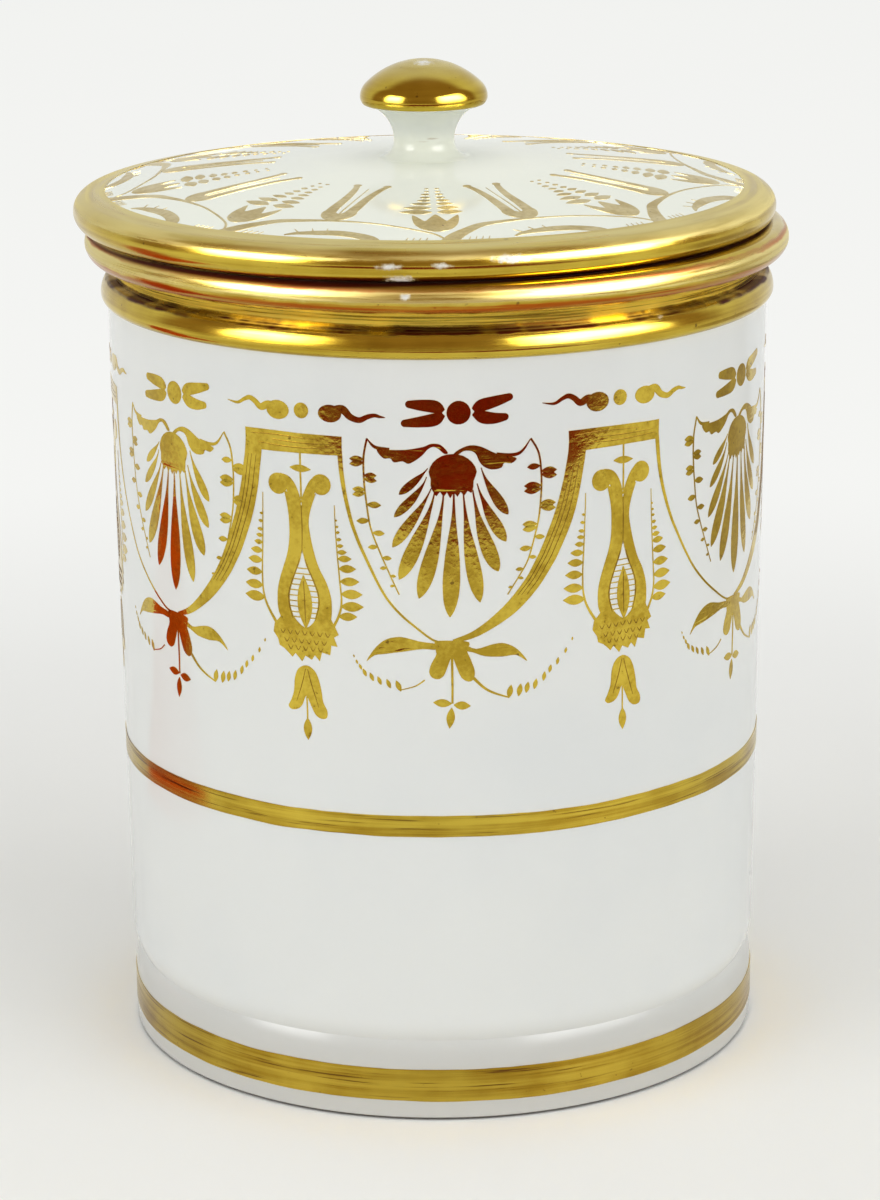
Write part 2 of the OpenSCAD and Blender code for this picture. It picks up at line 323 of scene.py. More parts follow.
pot = {
    "footR": 47.3, "footH": 8.0, "footEdge": 0.8, "ringW": 4.5, "recess": 2.6, "recessEdge": 0.3,
    "shoulderH": 4.0, "creaseDepth": 0.85, "wallRoundH": 4.0, "wallFootR": 47.45, "wallTopR": 48.4,
    "wall": 4.4, "floorT": 4.6, "floorRound": 5.0, "mouthRound": 1.0,
}

collar = {
    "beadDrop": 9.65, "beadProud": 0.85, "bead": 2.4, "beadFront": 3.6, "beadCorner": 0.6,
    "beadUnder": 1.2, "neckInset": 1.3, "lipProud": 3.0, "lip": 2.25, "lipTuck": 0.15,
}

lidShape = {
    "inset": 0.2, "edge": 2.3, "rise": 4.6, "domeT": 4.0, "flangePlay": 2.2, "flangeT": 3.0,
    "flangeH": 6.0,
}

knobShape = {
    "capR": 9.2, "capH": 6.6, "capEdge": 1.3, "shoulder": 2.6, "neckR": 4.4, "upperCove": 5.4,
    "neckRise": 5.0, "lowerCove": 2.5, "slip": 0.15,
}

gilt = {
    "proud": 0.1, "sunk": 0.05, "end": 0.15, "seatFilm": 0.02, "seatR": 46.6, "lipTurn": 76,
    "waistZ": 43.1, "waistW": 3.1, "footZ": 2.95, "footW": 4.9, "lidBorder": 4.6, "knobDrop": 1.0,
}

beadZ = seatZ - collar["beadDrop"]
beadOut = pot["wallTopR"] + collar["beadProud"]
wallZ = pot["footH"] + pot["shoulderH"] + pot["wallRoundH"]
mouthR = pot["wallTopR"] - pot["wall"]
lipR = pot["wallTopR"] + collar["lipProud"] - collar["lip"]
lidR = lipR + collar["lip"] - lidShape["inset"] - lidShape["edge"]
lidApex = 2 * lidShape["edge"] + lidShape["rise"]


def arc(centreR, centreZ, radius, start, end, steps):
    turns = [radians(start + (end - start) * i / steps) for i in range(steps + 1)]
    return [(centreR + radius * cos(a), centreZ + radius * sin(a)) for a in turns]


def line(a, b, steps):
    spans = range(1, steps + 1)
    return [(a[0] + (b[0] - a[0]) * i / steps, a[1] + (b[1] - a[1]) * i / steps) for i in spans]


def wallRadius(z):
    share = (z - wallZ) / (beadZ - wallZ)
    return pot["wallFootR"] + (pot["wallTopR"] - pot["wallFootR"]) * share


def leanArc(outR, baseZ, height, depth, up, steps):
    # upright at one end, leaning in by depth at the other
    radius = (height * height + depth * depth) / (2 * depth)
    sweep = degrees(asin(height / radius))
    start, end = (0, sweep) if up else (-sweep, 0)
    return arc(outR - radius, baseZ, radius, start, end, steps)


def collarLine(skin, topZ):
    neckR = pot["wallTopR"] - collar["neckInset"]
    under, bead, lip = collar["beadUnder"], collar["bead"], collar["lip"]
    lipZ = seatZ - lip
    coveZ = beadZ + bead
    cove = lipZ - lip - coveZ + collar["lipTuck"]
    coveR = neckR + cove
    low = degrees(acos(1 - collar["beadProud"] / under))  # where the bead leaves the wall
    points = arc(beadOut - under, beadZ, under + skin, -low, 0, 8)
    # over its middle the bead has a flat round, then a tighter one into the crease
    front, corner = collar["beadFront"], collar["beadCorner"]
    lean = asin((bead - corner) / (front - corner))
    cornerR = beadOut - front + (front - corner) * cos(lean)
    points += arc(beadOut - front, beadZ, front + skin, 0, degrees(lean), 10)[1:]
    points += arc(cornerR, beadZ + bead - corner, corner + skin, degrees(lean), 90, 6)[1:]
    # where the hollow of the cove turns into the round of the lip
    apart = hypot(lipR - coveR, lipZ - coveZ)
    toLip = atan2(lipZ - coveZ, lipR - coveR)
    near = ((cove - skin) ** 2 - (lip + skin) ** 2 + apart ** 2) / (2 * apart)
    meet = toLip + acos(near / (cove - skin))
    points += arc(coveR, coveZ, cove - skin, 180 - degrees(asin(skin / (cove - skin))), degrees(meet), 14)
    endR, endZ = points[-1]
    top = degrees(asin(min(1.0, (topZ - lipZ) / (lip + skin))))
    points += arc(lipR, lipZ, lip + skin, degrees(atan2(endZ - lipZ, endR - lipR)), top, 26)[1:]
    return points


def domeBall(radius, edge, apex):
    return (radius ** 2 + (apex - edge) ** 2 - edge ** 2) / (2 * (apex - 2 * edge))


def domedLine(radius, edge, apex, skin, startZ, endR, steps, shoulder=None):
    upper = shoulder or edge  # the round over the widest place may be fuller than the one under it
    inR = radius + edge - upper
    ball = (inR ** 2 + (apex - edge) ** 2 - upper ** 2) / (2 * (apex - edge - upper))
    lean = asin(inR / (ball - upper))
    start = degrees(asin((startZ - edge) / (edge + skin)))
    points = arc(radius, edge, edge + skin, start, 0, 12)
    points += arc(inR, edge, upper + skin, 0, 90 - degrees(lean), 24)[1:]
    inner = asin(endR / (ball + skin))
    return points + arc(0, apex - ball, ball + skin, 90 - degrees(lean), 90 - degrees(inner), steps)[1:]


def raised(points, z):
    return [(r, h + z) for r, h in points]


def potOutline():
    ringR = pot["footR"] - pot["ringW"]
    edge = pot["recessEdge"]
    points = [(0, pot["recess"]), (ringR - 2, pot["recess"]), (ringR, pot["recess"])]
    points += [(ringR, edge)] + arc(ringR + edge, edge, edge, 180, 270, 4)[1:]
    points += arc(pot["footR"] - pot["footEdge"], pot["footEdge"], pot["footEdge"], -90, 0, 8)
    points += line(points[-1], (pot["footR"], pot["footH"]), 3)
    points += leanArc(pot["footR"], pot["footH"], pot["shoulderH"], pot["creaseDepth"], True, 10)[1:]
    wallDepth = pot["wallFootR"] - pot["footR"] + pot["creaseDepth"]
    points += leanArc(pot["wallFootR"], wallZ, pot["wallRoundH"], wallDepth, False, 10)[1:]
    rim = collarLine(0, seatZ)
    points += line(points[-1], rim[0], 26)[:-1] + rim
    mouth = pot["mouthRound"]
    points += line(points[-1], (mouthR + mouth, seatZ), 4)
    points += arc(mouthR + mouth, seatZ - mouth, mouth, 90, 180, 8)[1:]
    floorZ = pot["recess"] + pot["floorT"]
    cornerZ = floorZ + pot["floorRound"]
    innerR = pot["wallFootR"] - pot["wall"]
    points += line(points[-1], (mouthR, beadZ), 2) + line((mouthR, beadZ), (innerR, cornerZ), 20)
    points += arc(innerR - pot["floorRound"], cornerZ, pot["floorRound"], 0, -90, 12)[1:]
    return points + line(points[-1], (0, floorZ), 6)


def lidOutline():
    flangeR = mouthR - lidShape["flangePlay"]
    hollowR = flangeR - lidShape["flangeT"]
    roundR = lidShape["flangeT"] / 2
    inside = asin(hollowR / (ballR - lidShape["domeT"]))
    points = arc(0, lidApex - ballR, ballR - lidShape["domeT"], 90, 90 - degrees(inside), 16)
    points += [(hollowR, roundR - lidShape["flangeH"])]
    points += arc(flangeR - roundR, roundR - lidShape["flangeH"], roundR, 180, 360, 14)[1:]
    points += [(flangeR, 0)] + line((flangeR, 0), (lidR, 0), 3)
    return raised(points + domedLine(lidR, lidShape["edge"], lidApex, 0, 0, 0, 40)[1:], seatZ)


ballR = domeBall(lidR, lidShape["edge"], lidApex)  # radius of the lid's dome
knobZ = lidApex - ballR + sqrt(ballR ** 2 - (knobShape["neckR"] + knobShape["lowerCove"]) ** 2)
capZ = knobZ + knobShape["lowerCove"] + knobShape["neckRise"]  # underside of the cap over the rim's seat
capR = knobShape["capR"] - knobShape["capEdge"]


def knobOutline():
    baseR = knobShape["neckR"] + knobShape["lowerCove"]
    waistZ = knobZ + knobShape["lowerCove"]
    points = [(0, knobZ - knobShape["slip"]), (baseR + knobShape["slip"], knobZ - knobShape["slip"])]
    points += arc(baseR, waistZ, knobShape["lowerCove"], 270, 180, 14)
    cove = knobShape["upperCove"]
    sweep = degrees(asin(knobShape["neckRise"] / cove))  # up to the underside of the cap
    points += arc(knobShape["neckR"] + cove, waistZ, cove, 180, 180 - sweep, 16)[1:]
    cap = domedLine(capR, knobShape["capEdge"], knobShape["capH"], 0, 0, 0, 24, knobShape["shoulder"])
    return raised(points + raised(cap, capZ), seatZ)


def skinLoop(outer, inner):
    return outer + inner[::-1]


def collarLoop():
    lip = collar["lip"]
    sides = []
    for skin, top in ((gilt["proud"], gilt["seatFilm"]), (-gilt["sunk"], -gilt["sunk"])):
        side = collarLine(skin, seatZ - gilt["end"])
        # thin gold goes on over the lip to the seat
        side += arc(lipR, seatZ - lip, lip + top, gilt["lipTurn"], 90, 6)
        sides.append(side + [(gilt["seatR"], seatZ + top)])
    return skinLoop(*sides)


def bandLoop(lowZ, width, radiusAt):
    heights = [lowZ + width * i / 8 for i in range(9)]
    outer = [(radiusAt(z) + gilt["proud"], z) for z in heights]
    return skinLoop(outer, [(radiusAt(z) - gilt["sunk"], z) for z in heights])


def lidBorderLoop():
    endR = lidR + lidShape["edge"] - gilt["lidBorder"]
    sides = [domedLine(lidR, lidShape["edge"], lidApex, skin, gilt["end"], endR, 8)
             for skin in (gilt["proud"], -gilt["sunk"])]
    return raised(skinLoop(*sides), seatZ)


def knobGiltOutline():
    edge, height, shoulder = knobShape["capEdge"], knobShape["capH"], knobShape["shoulder"]
    outer, inner = [domedLine(capR, edge, height, skin, edge - gilt["knobDrop"], 0, 24, shoulder)
                    for skin in (gilt["proud"], -gilt["sunk"])]
    return raised(inner[::-1] + outer, seatZ + capZ)


# one tree turns every outline on the wheel, with the small unevenness of hand work

handSockets = [("Uneven", "Float"), ("Uneven Size", "Float"), ("Seed", "Float"), ("Material", "Material")]


def handWork(look, material):
    return {"Uneven": look["uneven"] * mm, "Uneven Size": look["unevenSize"] * mm, "Seed": look["seed"],
            "Material": material}


def geo(tree, kind, inputs=None, output=0):
    return add(tree, "GeometryNode" + kind, inputs).outputs[output]


def treeWith(name, sockets):
    tree = bpy.data.node_groups.new(name, "GeometryNodeTree")
    keys = {}
    for label, kind in sockets + handSockets:
        made = tree.interface.new_socket(label, in_out="INPUT", socket_type="NodeSocket" + kind)
        keys[label] = made.identifier
    tree.interface.new_socket("Geometry", in_out="OUTPUT", socket_type="NodeSocketGeometry")
    return tree, tree.nodes.new("NodeGroupInput").outputs, keys


def closeTree(tree, geometry, material):
    real = geo(tree, "RealizeInstances", {"Geometry": geometry})
    coloured = geo(tree, "SetMaterial", {"Geometry": real, "Material": material})
    tree.links.new(coloured, tree.nodes.new("NodeGroupOutput").inputs[0])


def sway(tree, place, size, amount, seed):
    scale = calc(tree, "DIVIDE", 1.0, size)
    wave = noise(tree, place, scale, 2.0, seed, "Color")
    return scaled(tree, vectorCalc(tree, "SUBTRACT", wave, (0.5, 0.5, 0.5)), amount)


def wheelTree():
    tree, given, keys = treeWith("turn_on_wheel", [
        ("Outline", "Geometry"), ("Segments", "Int"), ("Guide Radius", "Float"), ("Axis X", "Float"),
        ("Brush", "Float"), ("Brush Size", "Float")])
    outline = geo(tree, "MeshToCurve", {"Mesh": given["Outline"]})
    circle = {"Resolution": given["Segments"], "Radius": given["Guide Radius"]}
    ring = geo(tree, "CurvePrimitiveCircle", circle, "Curve")
    turned = geo(tree, "CurveToMesh", {"Curve": ring, "Profile Curve": outline})
    closed = geo(tree, "MergeByDistance", {"Geometry": turned, "Distance": 2e-6})
    place = geo(tree, "InputPosition")
    uneven = sway(tree, place, given["Uneven Size"], given["Uneven"], given["Seed"])
    stroke = split(tree, sway(tree, place, given["Brush Size"], given["Brush"], given["Seed"]))[2]
    shift = vectorCalc(tree, "ADD", uneven, joinXyz(tree, given["Axis X"], 0.0, stroke))
    moved = geo(tree, "SetPosition", {"Geometry": closed, "Offset": shift})
    closeTree(tree, geo(tree, "SetShadeSmooth", {"Geometry": moved}), given["Material"])
    return tree, keys


wheel = {
    "segments": 320, "guideR": 50.0, "uneven": 0.1, "unevenSize": 30.0, "seed": 3.0, "brush": 0.0,
    "brushSize": 7.0, "sharp": 38,
}
turnTree, turnKeys = wheelTree()


def newObject(name, mesh):
    made = bpy.data.objects.new(name, mesh)
    bpy.context.scene.collection.objects.link(made)
    return made


def shaped(source, tree, keys, values, name):
    modifier = source.modifiers.new("nodes", "NODES")
    modifier.node_group = tree
    for label, value in values.items():
        modifier[keys[label]] = value
    graph = bpy.context.evaluated_depsgraph_get()
    graph.update()
    mesh = bpy.data.meshes.new_from_object(source.evaluated_get(graph))
    source.modifiers.remove(modifier)
    old = source.data
    bpy.data.objects.remove(source)
    bpy.data.meshes.remove(old)
    mesh.name = name
    return mesh


def smoothed(mesh, sharp):
    mesh.polygons.foreach_set("use_smooth", [True] * len(mesh.polygons))
    mesh.set_sharp_from_angle(angle=radians(sharp))


def faceOut(mesh):
    work = bmesh.new()
    work.from_mesh(mesh)
    bmesh.ops.recalc_face_normals(work, faces=work.faces)
    work.to_mesh(mesh)
    work.free()


def turn(name, points, material, loop=False, axisX=0.0, **changes):
    look = dict(wheel, **changes)
    mesh = bpy.data.meshes.new(name + "_outline")
    edges = [(i, i + 1) for i in range(len(points) - 1)]
    edges += [(len(points) - 1, 0)] if loop else []
    mesh.from_pydata([((r - look["guideR"]) * mm, -z * mm, 0) for r, z in points], edges, [])
    values = {
        "Segments": look["segments"], "Guide Radius": look["guideR"] * mm, "Axis X": axisX * mm,
        "Brush": look["brush"] * mm, "Brush Size": look["brushSize"] * mm, **handWork(look, material)}
    made = shaped(newObject(name + "_outline", mesh), turnTree, turnKeys, values, name)
    faceOut(made)
    smoothed(made, look["sharp"])
    return newObject(name, made)


def fit(piece, body, slot, *nodes):
    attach(piece, body)
    if nodes:
        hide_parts(*nodes)


bandEdge = {"brush": 0.5, "brushSize": 9.0}  # the bands have a hand painted edge
waistLoop = bandLoop(gilt["waistZ"], gilt["waistW"], wallRadius)
footLoop = bandLoop(gilt["footZ"], gilt["footW"], lambda z: pot["footR"])
potPiece = turn("pot_porcelain", potOutline(), potGlaze)
collarPiece = turn("collar_gold_layer", collarLoop(), collarGold, True)
waistPiece = turn("waist_band", waistLoop, bandGold, True, **bandEdge)
footPiece = turn("foot_band", footLoop, shadedFootGold, True, **bandEdge)
lidPiece = turn("lid_porcelain", lidOutline(), lidGlaze, axisX=lidX)
borderPiece = turn("lid_border", lidBorderLoop(), lidGold, True, lidX)
knobPiece = turn("knob_porcelain", knobOutline(), knobGlaze, axisX=lidX, segments=160)
knobGiltPiece = turn("knob_gold_layer", knobGiltOutline(), knobGold, axisX=lidX, segments=160)
fit(potPiece, "pot", "porcelain", "jar_body")
fit(collarPiece, "pot", "gilding", "collar_gilding")
fit(waistPiece, "pot", "gilding", "waist_band_gilding")
fit(footPiece, "pot", "gilding", "foot_band_gilding")
fit(lidPiece, "lid", "porcelain", "lid")
fit(borderPiece, "lid", "gilding", "lid_border_gilding")
fit(knobPiece, "lid", "porcelain", "knob")
fit(knobGiltPiece, "lid", "gilding", "knob_gilding")
print("turned pieces made")


# painted ornament: brush strokes laid out flat, in millimetres round the wall and up it

def newPlan(centre=0.0):
    return {"centre": centre, "points": [], "faces": []}


def lay(plan, points, faces):
    first = len(plan["points"])
    plan["points"] += [(x - plan["centre"], y) for x, y in points]
    for face in faces:
        corners = [points[i] for i in face]
        area = sum(a[0] * b[1] - b[0] * a[1] for a, b in zip(corners, corners[1:] + corners[:1]))
        order = face if area > 0 else face[::-1]
        plan["faces"].append([first + i for i in order])


def flow(points, steps, closed=False):
    ends = [points[-1]] + points + points[:2] if closed else [points[0]] + points + [points[-1]]
    spans = len(points) if closed else len(points) - 1
    made = []
    for i in range(spans):
        p0, p1, p2, p3 = ends[i:i + 4]
        for k in range(steps):
            t = k / steps
            made.append(tuple(
                0.5 * (2 * b + (c - a) * t + (2 * a - 5 * b + 4 * c - d) * t * t
                       + (3 * b - a - 3 * c + d) * t ** 3)
                for a, b, c, d in zip(p0, p1, p2, p3)))
    return made if closed else made + [tuple(points[-1])]


def ribbon(plan, points, widths, steps=5):
    track = flow([(x, y, w) for (x, y), w in zip(points, widths)], steps)
    left, right = [], []
    for i, (x, y, w) in enumerate(track):
        ax, ay, _ = track[max(i - 1, 0)]
        bx, by, _ = track[min(i + 1, len(track) - 1)]
        size = hypot(bx - ax, by - ay) or 1.0
        half = max(w, 0.02) / 2
        nx, ny = -(by - ay) / size * half, (bx - ax) / size * half
        left.append((x + nx, y + ny))
        right.append((x - nx, y - ny))
    n = len(track)
    lay(plan, left + right, [[i, i + 1, n + i + 1, n + i] for i in range(n - 1)])


def between(a, b, share):
    return a[0] + (b[0] - a[0]) * share, a[1] + (b[1] - a[1]) * share


def leaf(plan, base, tip, width, fat=0.45):
    points = [between(base, tip, share) for share in (0, fat * 0.5, fat, (1 + fat) / 2, 1)]
    ribbon(plan, points, [0.12, width * 0.78, width, width * 0.72, 0.04], 4)


def disc(plan, x, y, rx, ry=None, sides=22):
    ry = ry or rx
    turns = [2 * pi * i / sides for i in range(sides)]
    rimPoints = [(x + rx * cos(a), y + ry * sin(a)) for a in turns]
    lay(plan, rimPoints + [(x, y)], [[i, (i + 1) % sides, sides] for i in range(sides)])


def patch(plan, outline, steps=3):
    points = flow(outline, steps, True) if steps > 1 else list(outline)
    triangles = tessellate_polygon([[Vector((x, y, 0)) for x, y in points]])
    lay(plan, points, [list(t) for t in triangles])


def web(plan, one, other, steps=4):
    a, b = flow(one, steps), flow(other, steps)
    n = len(a)
    lay(plan, a + b, [[i, i + 1, n + i + 1, n + i] for i in range(n - 1)])


def alongLine(points, height):
    for (ax, ay), (bx, by) in zip(points, points[1:]):
        if min(ay, by) <= height <= max(ay, by):
            return ax + (bx - ax) * (height - ay) / (by - ay)
    return points[-1][0]


def planMesh(plan, name, longest):
    mesh = bpy.data.meshes.new(name)
    mesh.from_pydata([(x * mm, y * mm, 0) for x, y in plan["points"]], [], plan["faces"])
    work = bmesh.new()
    work.from_mesh(mesh)
    for _ in range(4):  # short edges, so that the film follows the round wall
        big = [e for e in work.edges if e.calc_length() > longest * mm]
        if not big:
            break
        bmesh.ops.subdivide_edges(work, edges=big, cuts=1, use_grid_fill=True)
        bmesh.ops.triangulate(work, faces=[f for f in work.faces if len(f.verts) > 4])
    work.to_mesh(mesh)
    work.free()
    return mesh


frieze = {
    "ringR": 48.25,
    # turn round the pot and lift of each motif, uneven as the painter spaced them by eye
    "palmettes": [(1.9, 0), (62, -0.9), (124, 0.3), (186, -0.2), (247, 0.4), (308.8, -0.7)],
    "frames": [(31.9, 0), (93, 0.3), (155, -0.3), (216.5, 0.2), (278, -0.2), (336.8, 0)],
    "beads": [(30.8, 0.7), (93, 0.5), (155, -0.2), (216.5, 0.4), (278, 0), (336.8, 0)],
    "film": 0.075, "etchFilm": 0.095, "sunk": 0.02, "uneven": 0.3, "unevenSize": 8.0, "seed": 7.0,
    "longest": 1.3, "sharp": 30,
}

palmette = {
    "centre": 1.6,
    "petals": [  # root, bend, tip, width
        ((-1.5, 96.4), (-2.2, 95.4), (-5.5, 92.7), 1.15), ((-1.7, 95.2), (-2.3, 93.2), (-6.2, 89.5), 1.3),
        ((-1.1, 93.6), (-2.4, 90.6), (-6.5, 85.2), 1.6), ((-0.6, 93.2), (-1.6, 88.5), (-5.6, 80.7), 2.1),
        ((0.6, 93.0), (0.1, 87.2), (-2.9, 78.0), 2.2), ((2.0, 93.0), (1.95, 87.0), (1.4, 75.3), 2.45),
        ((3.3, 93.0), (3.6, 87.2), (5.6, 77.3), 2.1), ((4.6, 93.3), (5.2, 88.2), (8.1, 81.6), 2.1),
        ((5.2, 94.2), (6.0, 90.8), (9.2, 85.8), 1.7), ((5.8, 96.4), (6.4, 93.9), (9.5, 89.6), 1.5)],
    "boss": [(1.9, 98.4), (0.4, 98.1), (-0.8, 97.2), (-1.4, 95.9), (-1.15, 94.9), (-1.2, 94.0),
             (-0.9, 93.2), (-0.4, 92.5), (0.1, 93.1), (0.6, 92.4), (1.05, 93.0), (1.5, 92.2), (2.0, 93.0),
             (2.5, 92.4), (2.95, 93.1), (3.4, 92.5), (3.9, 93.2), (4.4, 92.9), (4.7, 93.8), (4.75, 94.6),
             (5.2, 95.9), (4.6, 97.2), (3.4, 98.1)],
    "petalShares": [0, 0.13, 0.29, 0.46, 0.62, 0.78, 0.89, 0.96, 1],
    "petalWidths": [0.1, 0.14, 0.28, 0.58, 0.87, 1.0, 0.84, 0.48, 0.05],
    "leaves": [
        [(1.3, 98.6), (0.3, 99.7), (-1.0, 99.85), (-2.1, 99.4), (-4.4, 99.0), (-6.7, 98.95), (-8.3, 99.1),
         (-8.3, 98.5), (-7.5, 97.7), (-6.6, 97.75), (-6.1, 97.2), (-4.9, 97.35), (-4.15, 97.0),
         (-3.1, 97.5), (-2.1, 98.3), (-1.5, 99.0), (-0.7, 99.4), (0, 99.1), (0.8, 98.4)],
        [(2.0, 98.3), (2.8, 99.0), (4.3, 99.6), (5.9, 99.35), (7.95, 98.3), (9.5, 97.9), (10.7, 97.5),
         (10.0, 96.85), (9.0, 96.95), (8.6, 96.3), (7.2, 96.1), (6.1, 96.6), (5.5, 97.4), (5.2, 98.2),
         (4.6, 98.75), (3.5, 98.8), (2.5, 98.15)]],
    "tails": [[(-6.7, 98.95), (-8.3, 99.15), (-9.1, 99.6), (-9.75, 100.5)],
              [(7.95, 98.2), (10.0, 98.0), (11.4, 98.4), (12.7, 100.1)]],
    "tailWidths": [0.55, 0.5, 0.38, 0.1], "lineW": 0.3, "lineLess": 0.018,
    "leftLine": [(-9.75, 100.5), (-10.3, 98.0), (-10.35, 95.0), (-10.1, 92.0), (-9.5, 88.0), (-8.3, 84.5),
                 (-7.2, 82.0), (-5.6, 78.5)],
    "rightLine": [(12.7, 100.1), (13.8, 98.0), (14.2, 95.0), (14.2, 92.0), (13.9, 89.0), (13.2, 86.0),
                  (12.3, 83.0), (11.2, 81.0), (9.4, 78.2)],
    "leftBuds": [  # height, side, length, number
        (97.3, -1, 2.0, 2), (95.0, 1, 1.8, 2), (93.0, -1, 1.8, 2), (91.2, 1, 2.0, 1), (88.9, -1, 1.8, 1),
        (87.2, 1, 1.7, 1), (85.2, -1, 1.4, 1), (83.7, 1, 1.3, 1), (82.3, -1, 1.0, 1), (81.2, 1, 0.8, 1),
        (79.8, -1, 0.7, 1)],
    "rightBuds": [
        (96.2, -1, 1.9, 1), (95.2, 1, 2.3, 2), (93.2, -1, 2.5, 2), (90.6, 1, 2.3, 2), (87.8, -1, 2.1, 2),
        (86.2, 1, 1.5, 1), (84.7, -1, 1.7, 1), (83.4, 1, 1.1, 1), (81.8, -1, 1.1, 1), (80.5, 1, 0.8, 1),
        (79.3, -1, 0.6, 1)],
    "dot": (2.75, 104.2, 1.65),
    "forks": [  # leaves with two blunt lobes, beside the dot
        [(0.6, 104.3), (-0.4, 105.0), (-2.4, 105.25), (-4.0, 105.4)],
        [(0.6, 104.1), (-0.4, 103.3), (-2.4, 102.95), (-4.6, 102.75)],
        [(4.8, 104.4), (5.8, 105.1), (7.8, 105.6), (9.7, 106.1)],
        [(4.8, 104.2), (6.0, 103.5), (7.6, 103.25), (9.1, 103.35)]],
    "forkWidths": [0.9, 1.75, 1.55, 1.05],
}

bow = {
    "knot": [(-0.8, 71.7), (1.6, 71.85), (4.0, 71.6), (3.7, 70.4), (4.2, 69.2), (4.75, 67.5), (4.6, 66.3),
             (3.9, 65.9), (2.9, 66.5), (2.2, 68.1), (1.6, 69.5), (1.0, 68.1), (0.5, 66.9), (-0.3, 66.35),
             (-1.2, 66.6), (-1.6, 67.4), (-1.3, 68.6), (-0.6, 70.0)],
    "ends": [
        [(-0.5, 71.4), (-3.0, 71.8), (-5.5, 72.4), (-7.5, 72.0), (-9.0, 70.8), (-10.4, 68.7),
         (-9.2, 69.6), (-7.5, 69.9), (-5.0, 70.3), (-2.5, 70.7), (-0.5, 70.6)],
        [(3.4, 71.2), (5.0, 70.6), (7.0, 71.1), (8.6, 71.3), (10.0, 70.8), (11.2, 69.8), (12.2, 68.4),
         (10.6, 69.4), (8.6, 69.3), (6.2, 69.5), (4.6, 70.1), (3.4, 70.4)]],
    "rightSpray": [(4.6, 66.4), (6.0, 65.0), (7.5, 64.1), (9.6, 63.3)],
    "leftSpray": [(-2.2, 66.2), (-3.5, 65.3), (-5.6, 64.7)],
    "rightWidths": [0.45, 0.36, 0.3, 0.2], "leftWidths": [0.2, 0.17, 0.14], "rightTilt": 0.1,
    "leftTilt": -0.22,
    "rightDashes": [(9.7, 64.2, 1.9), (11.1, 64.3, 1.8), (12.2, 64.6, 1.6), (13.4, 65.0, 1.5),
                    (14.7, 66.0, 1.3), (15.6, 67.0, 1.1), (16.7, 68.0, 1.0), (17.9, 69.4, 0.8),
                    (18.9, 71.0, 0.5)],
    "leftDashes": [(-5.9, 65.3, 1.6), (-7.3, 65.6, 1.3), (-8.6, 66.0, 1.2), (-9.7, 66.5, 1.2),
                   (-10.7, 67.1, 1.1), (-11.3, 67.9, 0.8), (-11.8, 68.6, 0.6), (-12.2, 69.4, 0.4)],
    "stem": [(1.6, 69.8), (1.65, 66.0), (1.6, 62.8)], "stemWidths": [0.35, 0.32, 0.3],
    "trefoil": [((1.5, 62.8), (-1.1, 63.0), 1.15), ((1.8, 62.6), (4.2, 62.4), 1.2),
                ((1.5, 62.2), (1.2, 59.2), 1.2)],
}


def drawBuds(plan, track, buds):
    for height, side, size, number in buds:
        x = alongLine(track, height)
        for k in range(number):
            drop = 0.75 * k - 0.35 * (number - 1)
            tip = (x + side * size, height - drop - 0.1)
            leaf(plan, (x, height - drop * 0.6), tip, 0.42 * size + 0.1, 0.55)


def drawDashes(plan, dashes, tilt):
    for x, y, size in dashes:
        low, high = (x - tilt * size, y - size / 2), (x + tilt * size, y + size / 2)
        leaf(plan, low, high, 0.42 * size + 0.06, 0.5)


def bent(a, b, c, share):
    rest = 1 - share
    return tuple(rest ** 2 * p + 2 * share * rest * q + share ** 2 * r for p, q, r in zip(a, b, c))


def drawPalmette():
    plan = newPlan(palmette["centre"])
    for stem, bend, tip, width in palmette["petals"]:
        track = [bent(stem, bend, tip, share) for share in palmette["petalShares"]]
        ribbon(plan, track, [width * w for w in palmette["petalWidths"]], 4)
    patch(plan, palmette["boss"], 2)
    for outline in palmette["leaves"]:
        patch(plan, outline, 3)
    for track in palmette["tails"]:
        ribbon(plan, track, palmette["tailWidths"])
    for side in ("left", "right"):
        track = palmette[side + "Line"]
        ribbon(plan, track, [palmette["lineW"] - palmette["lineLess"] * i for i in range(len(track))])
        drawBuds(plan, track, palmette[side + "Buds"])
    disc(plan, *palmette["dot"])
    for track in palmette["forks"]:
        ribbon(plan, track, palmette["forkWidths"])
        disc(plan, *track[-1], palmette["forkWidths"][-1] / 2)
    patch(plan, bow["knot"], 3)
    for outline in bow["ends"]:
        patch(plan, outline, 3)
    ribbon(plan, bow["stem"], bow["stemWidths"])
    for base, tip, width in bow["trefoil"]:
        leaf(plan, base, tip, width, 0.5)
    for side in ("right", "left"):
        ribbon(plan, bow[side + "Spray"], bow[side + "Widths"])
        drawDashes(plan, bow[side + "Dashes"], bow[side + "Tilt"])
    return plan


